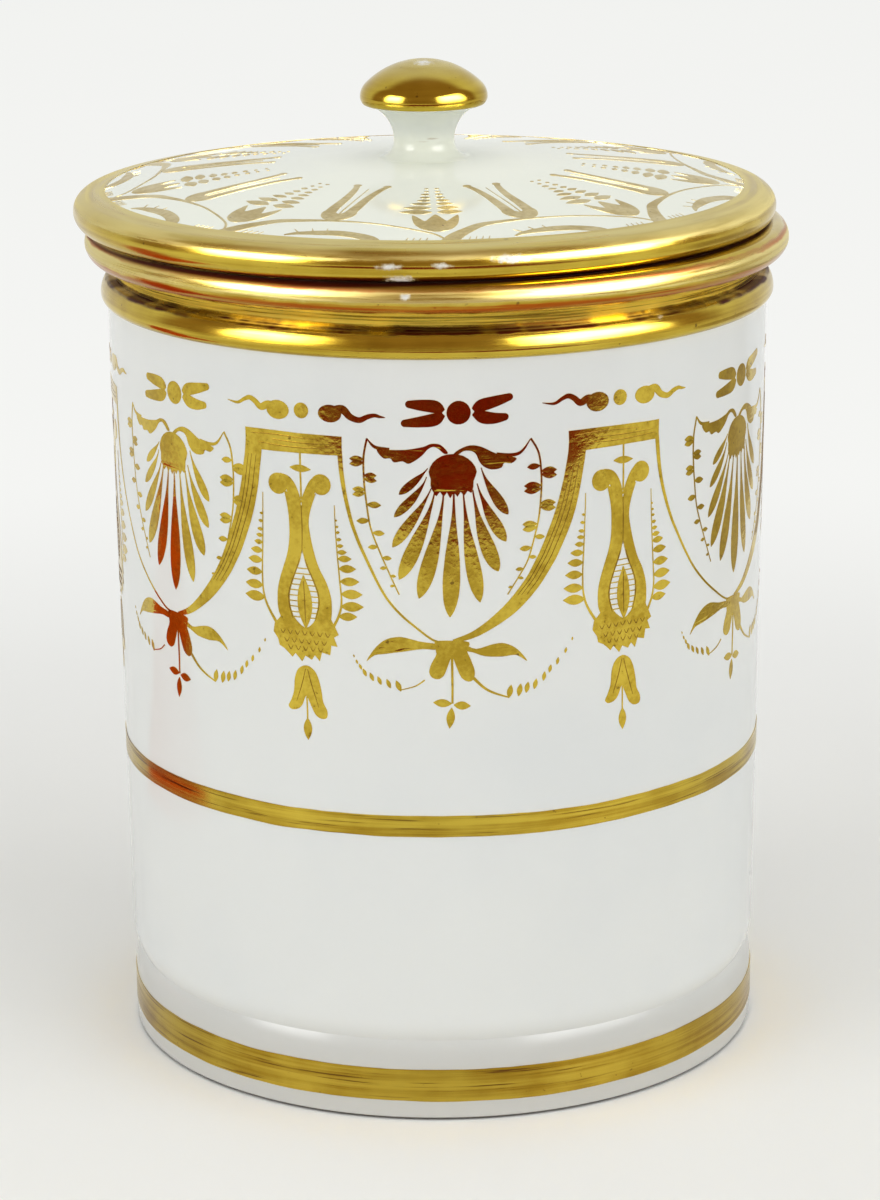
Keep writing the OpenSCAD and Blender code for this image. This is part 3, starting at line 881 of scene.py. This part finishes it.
lyre = {
    "centre": 26.9,
    "outerLeft": [(24.3, 92.3), (24.8, 90.0), (25.0, 87.5), (24.9, 85.0), (24.5, 83.0), (24.0, 81.5),
                  (23.2, 79.0), (22.9, 77.0), (23.0, 75.0), (23.5, 73.7)],
    "innerLeft": [(26.6, 91.6), (26.9, 90.0), (26.9, 87.5), (26.9, 84.6), (26.6, 82.6), (26.2, 81.5),
                  (25.5, 79.6), (24.95, 77.8), (24.9, 76.0), (25.4, 74.2)],
    "outerRight": [(29.1, 92.2), (28.3, 90.0), (27.95, 88.0), (28.2, 86.0), (28.8, 83.5), (29.5, 81.5),
                   (30.5, 79.5), (31.1, 77.5), (31.2, 75.5), (31.0, 74.0)],
    "innerRight": [(27.2, 91.6), (26.9, 90.0), (26.9, 87.5), (26.9, 84.6), (27.3, 82.6), (27.7, 81.4),
                   (28.5, 79.6), (29.1, 77.8), (29.1, 76.0), (28.6, 74.2)],
    "cup": [(23.4, 74.2), (25.2, 74.6), (25.9, 73.7), (26.6, 73.1), (27.2, 72.8), (27.8, 73.1),
            (28.4, 73.7), (28.9, 74.6), (31.1, 74.3), (31.6, 73.3), (32.1, 72.2), (31.4, 71.8),
            (31.9, 70.5), (31.0, 70.6), (30.8, 69.2), (29.6, 69.5), (29.2, 68.2), (28.5, 69.0),
            (28.0, 68.3), (27.0, 68.8), (26.5, 67.9), (25.5, 69.0), (25.0, 68.4), (24.4, 69.0),
            (23.8, 69.5), (23.0, 69.9), (22.8, 70.8), (22.1, 71.8), (22.3, 73.0)],
    "bell": [(27.1, 67.4), (25.9, 66.8), (25.3, 65.4), (25.1, 63.4), (24.6, 62.0), (24.2, 61.2),
             (24.7, 60.7), (25.7, 60.9), (26.4, 61.6), (27.0, 62.9), (27.6, 61.8), (28.3, 60.4),
             (29.2, 59.8), (30.1, 60.0), (30.2, 61.0), (29.6, 62.2), (29.4, 63.6), (29.0, 65.4),
             (28.3, 66.8)],
    "string": [(26.9, 98.0), (26.9, 91.3)], "stringW": 0.25,
    "tie": ((25.3, 95.7), (28.5, 95.6), 1.05, 0.5),
    "scrolls": [[(26.0, 90.6), (25.6, 92.4), (24.8, 93.7), (23.6, 94.2)],
                [(27.6, 90.6), (28.2, 92.4), (28.9, 93.7), (29.9, 94.5)]],
    "scrollWidths": [[1.9, 1.6, 1.45, 1.1], [1.7, 1.5, 1.4, 1.1]],
    "eyes": [(23.4, 93.2, 1.5), (29.9, 93.6, 1.5)], "tongue": ((27.05, 80.4), (27.25, 72.6), 2.2, 0.55),
    "drop": [(27.1, 62.8), (27.15, 59.3)], "dropW": 0.22,
    "dropLeaf": ((27.15, 59.7), (27.2, 56.5), 1.3, 0.5),
    "stemWidths": [0.1, 0.16, 0.2, 0.26, 0.34, 0.42], "rungW": 0.16,
    "rungs": [81.4, 80.6, 79.8, 79.0, 78.2, 77.4, 76.6, 75.8, 75.0, 74.3],
    "leftStem": [(20.9, 91.7), (20.7, 85.5), (20.5, 80.0), (20.6, 77.5), (21.2, 75.4), (22.7, 73.0)],
    "rightStem": [(31.8, 90.8), (32.0, 85.5), (32.4, 80.0), (32.6, 77.0), (32.2, 75.0), (31.3, 73.2)],
    "leftFern": [(88.6, 0.5), (87.5, 0.7), (86.3, 0.9), (85.4, 1.1), (84.4, 1.4), (83.2, 2.0),
                 (81.8, 2.4), (80.1, 2.7), (78.2, 3.0), (76.5, 3.4)],
    "rightFern": [(88.6, 0.3), (87.7, 0.45), (86.9, 0.6), (85.9, 0.8), (85.0, 1.0), (84.1, 1.4),
                  (83.2, 2.0), (81.8, 2.5), (80.0, 2.8), (78.2, 3.1), (76.4, 3.3), (74.9, 2.7)],
    "bar": [(18.3, 99.2), (23.0, 99.25), (28.0, 99.25), (33.1, 99.2)], "barWidths": [3.0, 2.95, 2.8, 2.7],
    "bead": (27.2, 103.85, 1.1), "blobs": [(23.6, 103.65, 1.75, 1.35), (31.4, 103.7, 1.7, 1.25)],
    "tails": [
        [(23.2, 103.7), (22.1, 104.2), (20.9, 103.8), (20.0, 104.5), (19.1, 104.9), (18.2, 104.6),
         (17.0, 104.0), (15.3, 104.2)],
        [(31.8, 103.9), (33.2, 104.4), (34.3, 103.4), (35.6, 103.0), (36.7, 103.5), (37.7, 103.75),
         (38.4, 103.6), (39.2, 103.5)]],
    "tailWidths": [1.6, 1.2, 0.95, 0.8, 0.7, 0.55, 0.4, 0.1],
    "etched": [  # lines scratched in the gold, dark with age
        [(26.5, 82.8), (26.1, 81.5), (25.35, 79.6), (24.8, 77.8), (24.75, 76.0), (25.3, 74.0)],
        [(27.4, 82.8), (27.8, 81.5), (28.65, 79.6), (29.25, 77.8), (29.25, 76.0), (28.7, 74.0)],
        [(26.9, 90.4), (26.95, 87.5), (26.9, 83.6)], [(27.08, 79.6), (27.15, 76.5), (27.2, 73.6)],
        [(27.0, 66.9), (26.4, 64.6), (25.5, 62.0)], [(27.3, 66.9), (27.9, 64.6), (28.9, 61.4)],
        [(19.2, 100.0), (23.0, 100.15), (29.5, 99.9)], [(20.4, 98.8), (26.0, 98.6), (32.4, 98.85)],
        [(22.5, 99.45), (27.0, 99.3), (32.0, 99.4)]],
    "etchW": (0.08, 0.13, 0.06),  # at the start, on the way and at the end
    "feathers": [(72.0, 23.6, 7), (70.8, 24.2, 6), (69.8, 24.8, 5)],  # height, first place and number
    "featherStep": 1.15, "feather": [(-0.38, 0.35), (0, -0.25), (0.38, 0.35)],
    "featherWidths": [0.05, 0.13, 0.05],
}


def drawFrame():
    plan = newPlan(lyre["centre"])
    ribbon(plan, lyre["bar"], lyre["barWidths"])
    ribbon(plan, lyre["string"], [lyre["stringW"]] * 2)
    leaf(plan, *lyre["tie"])
    web(plan, lyre["outerLeft"], lyre["innerLeft"])
    web(plan, lyre["outerRight"], lyre["innerRight"])
    for track, widths, eye in zip(lyre["scrolls"], lyre["scrollWidths"], lyre["eyes"]):
        ribbon(plan, track, widths)
        disc(plan, *eye)
    leaf(plan, *lyre["tongue"])
    for height in lyre["rungs"]:
        left, right = alongLine(lyre["innerLeft"], height), alongLine(lyre["innerRight"], height)
        ribbon(plan, [(left - 0.1, height), (right + 0.1, height)], [lyre["rungW"]] * 2)
    patch(plan, lyre["cup"], 1)
    patch(plan, lyre["bell"], 3)
    ribbon(plan, lyre["drop"], [lyre["dropW"]] * 2)
    leaf(plan, *lyre["dropLeaf"])
    for side, way in (("left", -1), ("right", 1)):
        stem = lyre[side + "Stem"]
        ribbon(plan, stem, lyre["stemWidths"])
        for height, size in lyre[side + "Fern"]:
            x = alongLine(stem, height)
            leaf(plan, (x, height), (x + way * size, height + 0.1), 0.2 + 0.38 * size, 0.5)
    return plan


def evenWidths(track, start, way, end):
    return [start] + [way] * (len(track) - 2) + [end]


def drawEtching():
    plan = newPlan(lyre["centre"])
    for track in lyre["etched"]:
        ribbon(plan, track, evenWidths(track, *lyre["etchW"]))
    for height, first, number in lyre["feathers"]:
        for k in range(number):
            x = first + k * lyre["featherStep"]
            ribbon(plan, [(x + a, height + b) for a, b in lyre["feather"]], lyre["featherWidths"])
    return plan


def drawBeads():
    plan = newPlan(lyre["centre"])
    disc(plan, *lyre["bead"])  # beads with wavy tails, over the frame
    for blob, tail in zip(lyre["blobs"], lyre["tails"]):
        disc(plan, *blob)
        ribbon(plan, tail, lyre["tailWidths"])
    return plan


swag = {  # share of the way from the bow to the frame, and height
    "thick": [(0, 71.75), (0.148, 72.6), (0.284, 74.0), (0.432, 76.0), (0.545, 78.0), (0.636, 80.0),
              (0.705, 82.0), (0.767, 84.0), (0.864, 88.0), (0.932, 92.0), (0.985, 97.0), (1.0, 100.3)],
    "thickWidths": [0.5, 0.9, 1.3, 1.8, 2.1, 2.35, 2.55, 2.7, 2.85, 2.8, 2.7, 2.7],
    "thin": [(0, 71.6), (0.095, 72.0), (0.24, 73.5), (0.4, 75.5), (0.55, 78.0), (0.67, 81.0),
             (0.77, 84.0), (0.83, 86.0), (0.9, 89.0), (0.95, 92.0), (0.98, 95.0), (1.0, 98.6)],
    "thinWidths": [0.28, 0.28, 0.3, 0.32, 0.34, 0.37, 0.41, 0.45, 0.5, 0.55, 0.62, 0.7],
    "bowRight": 0.2, "bowLeft": -1.3, "barLeft": -7.2, "barRight": 5.85, "hairs": [-0.75, -0.2, 0.55],
    "hairW": (0.05, 0.11, 0.05),
}


def drawSwags():
    plan, hairs = newPlan(), newPlan()
    for i, (turnDeg, lift) in enumerate(frieze["palmettes"]):
        middle = radians(turnDeg) * frieze["ringR"]
        after = radians(frieze["frames"][i][0]) * frieze["ringR"]
        before = radians(frieze["frames"][i - 1][0] - (360 if i == 0 else 0)) * frieze["ringR"]
        for kind, start, end in (("thick", middle + swag["bowRight"], after + swag["barLeft"]),
                                 ("thin", middle + swag["bowLeft"], before + swag["barRight"])):
            track = [(start + (end - start) * share, z + lift * (1 - share)) for share, z in swag[kind]]
            ribbon(plan, track, swag[kind + "Widths"], 6)
            for off in swag["hairs"] if kind == "thick" else ():  # brush hairs along the broad stroke
                hair = [(x + off, z) for x, z in track[4:-1]]
                ribbon(hairs, hair, evenWidths(hair, *swag["hairW"]))
    return plan, hairs


# the flat strokes are set out round the pot, wrapped on the wall and given the thickness of a gold film

def filmOf(tree, sheet, film):
    upper = geo(tree, "ExtrudeMesh", {"Mesh": sheet, "Offset Scale": film, "Individual": False}, "Mesh")
    both = add(tree, "GeometryNodeJoinGeometry")
    tree.links.new(upper, both.inputs[0])
    tree.links.new(geo(tree, "FlipFaces", {"Mesh": sheet}), both.inputs[0])
    return geo(tree, "MergeByDistance", {"Geometry": both.outputs[0], "Distance": 1e-7})


def wallTree():
    tree, given, keys = treeWith("paint_on_wall", [
        ("Motif", "Geometry"), ("Places", "Object"), ("Ring Radius", "Float"), ("Foot Radius", "Float"),
        ("Top Radius", "Float"), ("Foot Height", "Float"), ("Top Height", "Float"), ("Film", "Float"),
        ("Sunk", "Float")])
    places = geo(tree, "ObjectInfo", {"Object": given["Places"]}, "Geometry")
    copies = geo(tree, "InstanceOnPoints", {"Points": places, "Instance": given["Motif"]})
    flat = geo(tree, "RealizeInstances", {"Geometry": copies})
    along, height, _ = split(tree, geo(tree, "InputPosition"))

    def wrap(u, z):
        inputs = {0: z, 1: given["Foot Height"], 2: given["Top Height"], 3: given["Foot Radius"],
                  4: given["Top Radius"]}
        wallR = add(tree, "ShaderNodeMapRange", inputs, clamp=False).outputs[0]
        radius = calc(tree, "SUBTRACT", wallR, given["Sunk"])
        angle = calc(tree, "DIVIDE", u, given["Ring Radius"])
        back = calc(tree, "MULTIPLY", calc(tree, "MULTIPLY", radius, calc(tree, "COSINE", angle)), -1.0)
        return joinXyz(tree, calc(tree, "MULTIPLY", radius, calc(tree, "SINE", angle)), back, z)

    waver = sway(tree, wrap(along, height), given["Uneven Size"], given["Uneven"], given["Seed"])
    across, _, up = split(tree, waver)
    place = wrap(calc(tree, "ADD", along, across), calc(tree, "ADD", height, up))
    sheet = geo(tree, "SetPosition", {"Geometry": flat, "Position": place})
    closeTree(tree, filmOf(tree, sheet, given["Film"]), given["Material"])
    return tree, keys


def domeTree():
    tree, given, keys = treeWith("paint_on_dome", [
        ("Motif", "Geometry"), ("Repeats", "Int"), ("First Turn", "Float"), ("Axis X", "Float"),
        ("Ball Radius", "Float"), ("Ball Height", "Float"), ("Film", "Float"), ("Sunk", "Float")])
    points = geo(tree, "MeshLine", {"Count": given["Repeats"], "Offset": (0, 0, 0)})
    step = calc(tree, "DIVIDE", 2 * pi, given["Repeats"])
    turns = calc(tree, "MULTIPLY_ADD", geo(tree, "InputIndex"), step, given["First Turn"])
    setOut = {"Points": points, "Instance": given["Motif"], "Rotation": joinXyz(tree, 0.0, 0.0, turns)}
    flat = geo(tree, "RealizeInstances", {"Geometry": geo(tree, "InstanceOnPoints", setOut)})
    place = geo(tree, "InputPosition")
    waver = sway(tree, place, given["Uneven Size"], given["Uneven"], given["Seed"])
    x, y, _ = split(tree, vectorCalc(tree, "ADD", place, waver))
    ball = calc(tree, "SUBTRACT", given["Ball Radius"], given["Sunk"])
    rest = calc(tree, "SUBTRACT", calc(tree, "MULTIPLY", ball, ball), squares(tree, x, y))
    height = calc(tree, "ADD", calc(tree, "SQRT", rest), given["Ball Height"])
    onDome = joinXyz(tree, calc(tree, "ADD", x, given["Axis X"]), y, height)
    sheet = geo(tree, "SetPosition", {"Geometry": flat, "Position": onDome})
    closeTree(tree, filmOf(tree, sheet, given["Film"]), given["Material"])
    return tree, keys


paintTree, paintKeys = wallTree()


def paintWall(plan, turns, name, film=frieze["film"], material=paintedGold):
    spots = bpy.data.meshes.new(name + "_places")
    spots.from_pydata([(radians(a) * frieze["ringR"] * mm, lift * mm, 0) for a, lift in turns], [], [])
    places = newObject(name + "_places", spots)
    values = {
        "Places": places, "Ring Radius": frieze["ringR"] * mm, "Foot Radius": pot["wallFootR"] * mm,
        "Top Radius": pot["wallTopR"] * mm, "Foot Height": wallZ * mm, "Top Height": beadZ * mm,
        "Film": film * mm, "Sunk": frieze["sunk"] * mm, **handWork(frieze, material)}
    flat = newObject(name + "_flat", planMesh(plan, name + "_flat", frieze["longest"]))
    mesh = shaped(flat, paintTree, paintKeys, values, name)
    bpy.data.objects.remove(places)
    return mesh


def joined(name, meshes, material):
    work = bmesh.new()
    for mesh in meshes:
        work.from_mesh(mesh)
    made = bpy.data.meshes.new(name)
    work.to_mesh(made)
    work.free()
    made.materials.append(material)
    for mesh in meshes:
        bpy.data.meshes.remove(mesh)
    made.polygons.foreach_set("material_index", [0] * len(made.polygons))
    smoothed(made, frieze["sharp"])
    return newObject(name, made)


swagPlan, hairPlan = drawSwags()
friezePiece = joined("painted_frieze", [
    paintWall(drawPalmette(), frieze["palmettes"], "palmettes"),
    paintWall(drawFrame(), frieze["frames"], "lyre_frames"),
    paintWall(drawBeads(), frieze["beads"], "bead_rows"),
    paintWall(swagPlan, [(0, 0)], "swags")], paintedGold)
etchPiece = joined("etched_lines", [
    paintWall(drawEtching(), frieze["frames"], "lyre_lines", frieze["etchFilm"], etchedGold),
    paintWall(hairPlan, [(0, 0)], "swag_hairs", frieze["etchFilm"], etchedGold)], etchedGold)
fit(friezePiece, "pot", "gilding")
fit(etchPiece, "pot", "gilding")
print("frieze painted,", len(friezePiece.data.polygons), "faces")

lidPaint = {
    "repeats": 9, "firstTurn": 2.4, "film": 0.065, "sunk": 0.02, "uneven": 0.4, "unevenSize": 9.0,
    "seed": 12.0, "longest": 2.5,
    "leaves": [  # distance from the knob's axis, length to the left and to the right, width
        (23.3, 0.6, 0.7, 0.5), (24.9, 0.7, 0.8, 0.55), (26.4, 1.2, 1.1, 0.8), (28.0, 1.4, 1.3, 0.85),
        (29.5, 1.8, 1.9, 1.0), (31.1, 2.7, 2.3, 1.15), (33.0, 3.8, 3.0, 1.5), (34.9, 4.4, 3.5, 1.8)],
    "spine": 0.4, "leafRise": 0.1,
    "flower": [(0, -36.0), (0.8, -37.4), (1.5, -38.7), (2.2, -37.6), (3.1, -36.2), (3.2, -38.2),
               (2.9, -40.2), (2.1, -41.9), (1.0, -42.8), (0, -43.1)],
    "forkTurn": 18.8, "prong": [(2.2, -22.3), (1.75, -25.0), (1.5, -29.0), (1.5, -33.0), (1.45, -36.0)],
    "prongWidths": [0.8, 0.95, 1.2, 1.45, 1.7], "prongHead": 0.6,
    "forkBase": [(0, -36.4), (0.5, -36.0), (1.2, -35.2), (2.4, -35.5), (2.3, -37.2), (1.5, -38.6),
                 (0, -39.2)],
    "hair": [(0, -24.0), (0.1, -36.5)],
    "arc": [(1.2, 47.8), (3, 45.1), (5.5, 42.8), (8.3, 41), (11.9, 40.1), (18.3, 39.4), (25.5, 39.6),
            (31.2, 40.7), (36.2, 42.4), (39.7, 44.3), (41.5, 46.8)],
    "arcWidths": [2.4, 2.2, 1.7, 1.4, 1.05, 0.55, 0.35, 0.32, 0.32, 0.32, 0.35],
    "crescent": [(13.2, 45.9), (15, 45), (18.3, 44.4), (22, 44.2), (25.5, 44.8), (28.3, 46),
                 (29.4, 47.6)],
    "crescentWidths": [0.3, 0.9, 1.5, 1.8, 1.8, 1.9, 2.1],
    "barbs": [((15, 44.5), (13.8, 43.5)), ((17.5, 43.8), (16.9, 42.8)), ((20, 43.5), (19.8, 42.6))],
    "barbWidths": [0.22, 0.06], "hairWidths": [0.1, 0.2],
    "hatches": [  # turns, outer and inner distance, lean, widths
        ([5.0, 6.1, 7.2, 8.3], 46.9, 45.4, 0.6, [0.16, 0.08]),
        ([34.5, 35.6, 36.7, 37.8], 46.8, 45.6, 0.4, [0.14, 0.08])],
}


def polar(turnDeg, radius):
    return radius * sin(radians(turnDeg)), -radius * cos(radians(turnDeg))


def turnedBy(points, turnDeg):
    c, s = cos(radians(turnDeg)), sin(radians(turnDeg))
    return [(x * c - y * s, x * s + y * c) for x, y in points]


def bothHalves(half):
    return half + [(-x, y) for x, y in half[-2:0:-1]]


def drawLid():
    plan = newPlan()
    for radius, left, right, width in lidPaint["leaves"]:
        for side, size in ((-1, left), (1, right)):
            tip = (side * (lidPaint["spine"] + size), -radius + lidPaint["leafRise"] * size)
            leaf(plan, (side * lidPaint["spine"], -radius), tip, width, 0.45)
    patch(plan, bothHalves(lidPaint["flower"]), 3)
    for side in (-1, 1):
        prong = turnedBy([(side * x, y) for x, y in lidPaint["prong"]], lidPaint["forkTurn"])
        ribbon(plan, prong, lidPaint["prongWidths"])
        disc(plan, *prong[0], lidPaint["prongHead"])
    patch(plan, turnedBy(bothHalves(lidPaint["forkBase"]), lidPaint["forkTurn"]), 2)
    ribbon(plan, turnedBy(lidPaint["hair"], lidPaint["forkTurn"]), lidPaint["hairWidths"])
    ribbon(plan, [polar(*p) for p in lidPaint["arc"]], lidPaint["arcWidths"], 6)
    ribbon(plan, [polar(*p) for p in lidPaint["crescent"]], lidPaint["crescentWidths"], 6)
    for start, end in lidPaint["barbs"]:
        ribbon(plan, [polar(*start), polar(*end)], lidPaint["barbWidths"])
    for turns, outer, inner, lean, widths in lidPaint["hatches"]:
        for turnDeg in turns:
            ribbon(plan, [polar(turnDeg, outer), polar(turnDeg + lean, inner)], widths)
    return plan


layTree, layKeys = domeTree()
lidValues = {
    "Repeats": lidPaint["repeats"], "First Turn": radians(lidPaint["firstTurn"]), "Axis X": lidX * mm,
    "Ball Radius": ballR * mm, "Ball Height": (seatZ + lidApex - ballR) * mm,
    "Film": lidPaint["film"] * mm, "Sunk": lidPaint["sunk"] * mm, **handWork(lidPaint, lidPaintGold)}
lidFlat = newObject("lid_flat", planMesh(drawLid(), "lid_flat", lidPaint["longest"]))
lidOrnament = shaped(lidFlat, layTree, layKeys, lidValues, "lid_ornament")
lidPaintPiece = joined("painted_lid", [lidOrnament], lidPaintGold)
fit(lidPaintPiece, "lid", "gilding")
print("lid painted,", len(lidPaintPiece.data.polygons), "faces")


# camera, light and floor

view = {"focal": 3751.8, "imageH": 1200, "pitch": 15.758, "roll": -0.52, "away": 565.78, "aimZ": 64.19}


def makeCamera():
    made = bpy.data.cameras.new("camera")
    # the sensor's width lies on the long side of the picture
    made.lens = view["focal"] / view["imageH"] * made.sensor_width
    holder = newObject("camera", made)
    pitch = radians(view["pitch"])
    holder.location = (0, -view["away"] * cos(pitch) * mm,
                       (view["aimZ"] + view["away"] * sin(pitch)) * mm)
    turned = Matrix.Rotation(pi / 2 - pitch, 4, "X") @ Matrix.Rotation(radians(view["roll"]), 4, "Z")
    holder.rotation_euler = turned.to_euler()
    made.clip_start, made.clip_end = 0.01, 50
    bpy.context.scene.camera = holder


stageLook = {
    "floor": (0.91, 0.91, 0.885, 1), "floorSize": 8.0, "floorRough": 0.8,
    "paper": (0.93, 0.935, 0.915, 1), "paperShare": (0.0, 0.9), "paperReach": (0.10, 0.36),
    "room": (0.86, 0.87, 0.86, 1), "dark": (0.38, 0.25, 0.14, 1), "roomLevel": 1.0, "roomShade": 0.42,
    "litSpan": (0.16, 0.42),
    "cards": [  # glowing sheets seen only in reflections: painted reflections of the dark camera side and a reddish thing at the left, and a painted shadow on the floor at the right; colour, and corners on the floor
        ((0.24, 0.018, 0.012, 1), [(-0.40, -0.95), (0.50, -0.95), (0.45, -0.23), (0.15, -0.33),
                                   (-0.13, -0.36), (-0.35, -0.34)]),
        ((0.62, 0.10, 0.015, 1), [(-0.27, 0.015), (-0.146, -0.031), (-0.126, 0.065), (-0.24, 0.105),
                                  (-0.36, 0.12), (-0.37, 0.05)]),
        ((0.55, 0.50, 0.42, 1), [(0.24, 0.02), (0.62, 0.02), (0.62, 0.40), (0.24, 0.30)])],
    "boxes": [  # turn from the front, distance, middle height, width, height, power
        (-57, 1.0, 0.50, 0.8, 0.9, 4.2), (54, 1.0, 0.58, 1.3, 1.06, 5.0)],
    "glow": 18.0, "clothGap": 0.01,
    "top": ((0, 0.1, 1.4), 1.5, 8.0),  # place, size and power of the lamp overhead
}


def sheetOf(name, points, material):
    mesh = bpy.data.meshes.new(name)
    mesh.from_pydata(points, [], [list(range(len(points)))])
    mesh.materials.append(material)
    return newObject(name, mesh)


def makeFloor():
    half = stageLook["floorSize"] / 2
    corners = [(-half, -half, 0), (half, -half, 0), (half, half, 0), (-half, half, 0)]
    made, tree, shader = newMaterial("floor_paper")
    place = add(tree, "ShaderNodeTexCoord").outputs["Object"]
    soft = ramp(tree, noise(tree, place, 6, 3, 1.0), 0.3, 0.7, 0.97, 1.0)
    tree.links.new(scaled(tree, stageLook["floor"][:3], soft), shader.inputs["Base Color"])
    shader.inputs["Roughness"].default_value = stageLook["floorRough"]
    path = add(tree, "ShaderNodeLightPath").outputs
    seen = calc(tree, "MAXIMUM", path["Is Camera Ray"], path["Is Glossy Ray"])
    seen = calc(tree, "MAXIMUM", seen, path["Is Transmission Ray"])
    pale = add(tree, "ShaderNodeEmission", {"Color": stageLook["paper"], "Strength": 1.0}).outputs[0]
    # lifts the far paper and keeps the shadow
    pull = ramp(tree, length(tree, place), *stageLook["paperReach"], *stageLook["paperShare"])
    share = calc(tree, "MULTIPLY", seen, pull)
    showAs(tree, add(tree, "ShaderNodeMixShader", {0: share, 1: shader.outputs[0], 2: pale}).outputs[0])
    sheetOf("floor", corners, made)


def mirrorSheet(name, points, material):
    sheet = sheetOf(name, points, material)  # seen only as a reflection in gold and glaze
    sheet.visible_camera = sheet.visible_diffuse = False
    sheet.visible_shadow = sheet.visible_transmission = False
    return sheet.data


def makeCards():
    for i, (colour, corners) in enumerate(stageLook["cards"]):
        made, tree, _ = newMaterial("reflection_card_%d" % (i + 1))
        showAs(tree, add(tree, "ShaderNodeEmission", {"Color": colour, "Strength": 1.0}).outputs[0])
        mirrorSheet("card_%d" % (i + 1), [(x, y, mm) for x, y in corners], made)


def makeGlow():
    made, tree, _ = newMaterial("soft_box_cloth")
    u, v, _ = split(tree, add(tree, "ShaderNodeUVMap", uv_map="UVMap").outputs[0])
    middle = 1.0
    for side in (u, v):  # brightest in the middle of the cloth
        off = calc(tree, "ABSOLUTE", calc(tree, "SUBTRACT", side, 0.5))
        middle = calc(tree, "MULTIPLY", middle, ramp(tree, off, 0.5, 0.15))
    lit = {"Color": (1, 1, 1, 1), "Strength": stageLook["glow"]}
    glow = add(tree, "ShaderNodeEmission", lit).outputs[0]
    clear = add(tree, "ShaderNodeBsdfTransparent").outputs[0]
    showAs(tree, add(tree, "ShaderNodeMixShader", {0: middle, 1: clear, 2: glow}).outputs[0])
    return made


def areaLamp(name, size, power, place):
    lamp = bpy.data.lights.new(name, "AREA")
    lamp.size, lamp.energy = size, power
    holder = newObject(name, lamp)
    holder.location = place
    holder.visible_camera = holder.visible_glossy = False
    return holder


def makeLights():
    cloth = makeGlow()
    for i, (turnDeg, away, height, width, tall, power) in enumerate(stageLook["boxes"]):
        x, y = polar(turnDeg, away)
        holder = areaLamp("soft_box_%d" % (i + 1), width, power, (x, y, height))
        holder.data.shape, holder.data.size_y = "RECTANGLE", tall
        holder.rotation_euler = Vector((-x, -y, 0)).to_track_quat("-Z", "Y").to_euler()
        c, s = cos(radians(turnDeg)) * width / 2, sin(radians(turnDeg)) * width / 2
        low, high = height - tall / 2, height + tall / 2
        x, y = polar(turnDeg, away - stageLook["clothGap"])
        corners = [(x - c, y - s, low), (x + c, y + s, low), (x + c, y + s, high), (x - c, y - s, high)]
        mesh = mirrorSheet("cloth_%d" % (i + 1), corners, cloth)
        uv = mesh.uv_layers.new(name="UVMap")
        for corner, place in zip(uv.data, ((0, 0), (1, 0), (1, 1), (0, 1))):
            corner.uv = place
    place, size, power = stageLook["top"]
    areaLamp("top_light", size, power, place)


def makeWorld():
    world = bpy.data.worlds.new("room")
    bpy.context.scene.world = world
    world.use_nodes = True
    tree = world.node_tree
    ahead = split(tree, add(tree, "ShaderNodeTexCoord").outputs["Generated"])[1]
    lit = ramp(tree, ahead, *stageLook["litSpan"])  # pale behind the pot
    path = add(tree, "ShaderNodeLightPath").outputs
    mirrored = path["Is Glossy Ray"]  # the dark camera side and ceiling show in the gold only
    dim = calc(tree, "MULTIPLY", mirrored, calc(tree, "SUBTRACT", 1.0, lit))
    colour = mixColour(tree, dim, stageLook["room"], stageLook["dark"])
    seen = calc(tree, "MAXIMUM", mirrored, path["Is Camera Ray"])
    level = ramp(tree, seen, 0.0, 1.0, stageLook["roomShade"], stageLook["roomLevel"])
    back = tree.nodes["Background"]
    tree.links.new(colour, back.inputs["Color"])
    tree.links.new(level, back.inputs["Strength"])


makeCamera()
makeFloor()
makeCards()
makeLights()
makeWorld()
bpy.context.scene.view_settings.view_transform = "Standard"
print("camera, floor and light set")
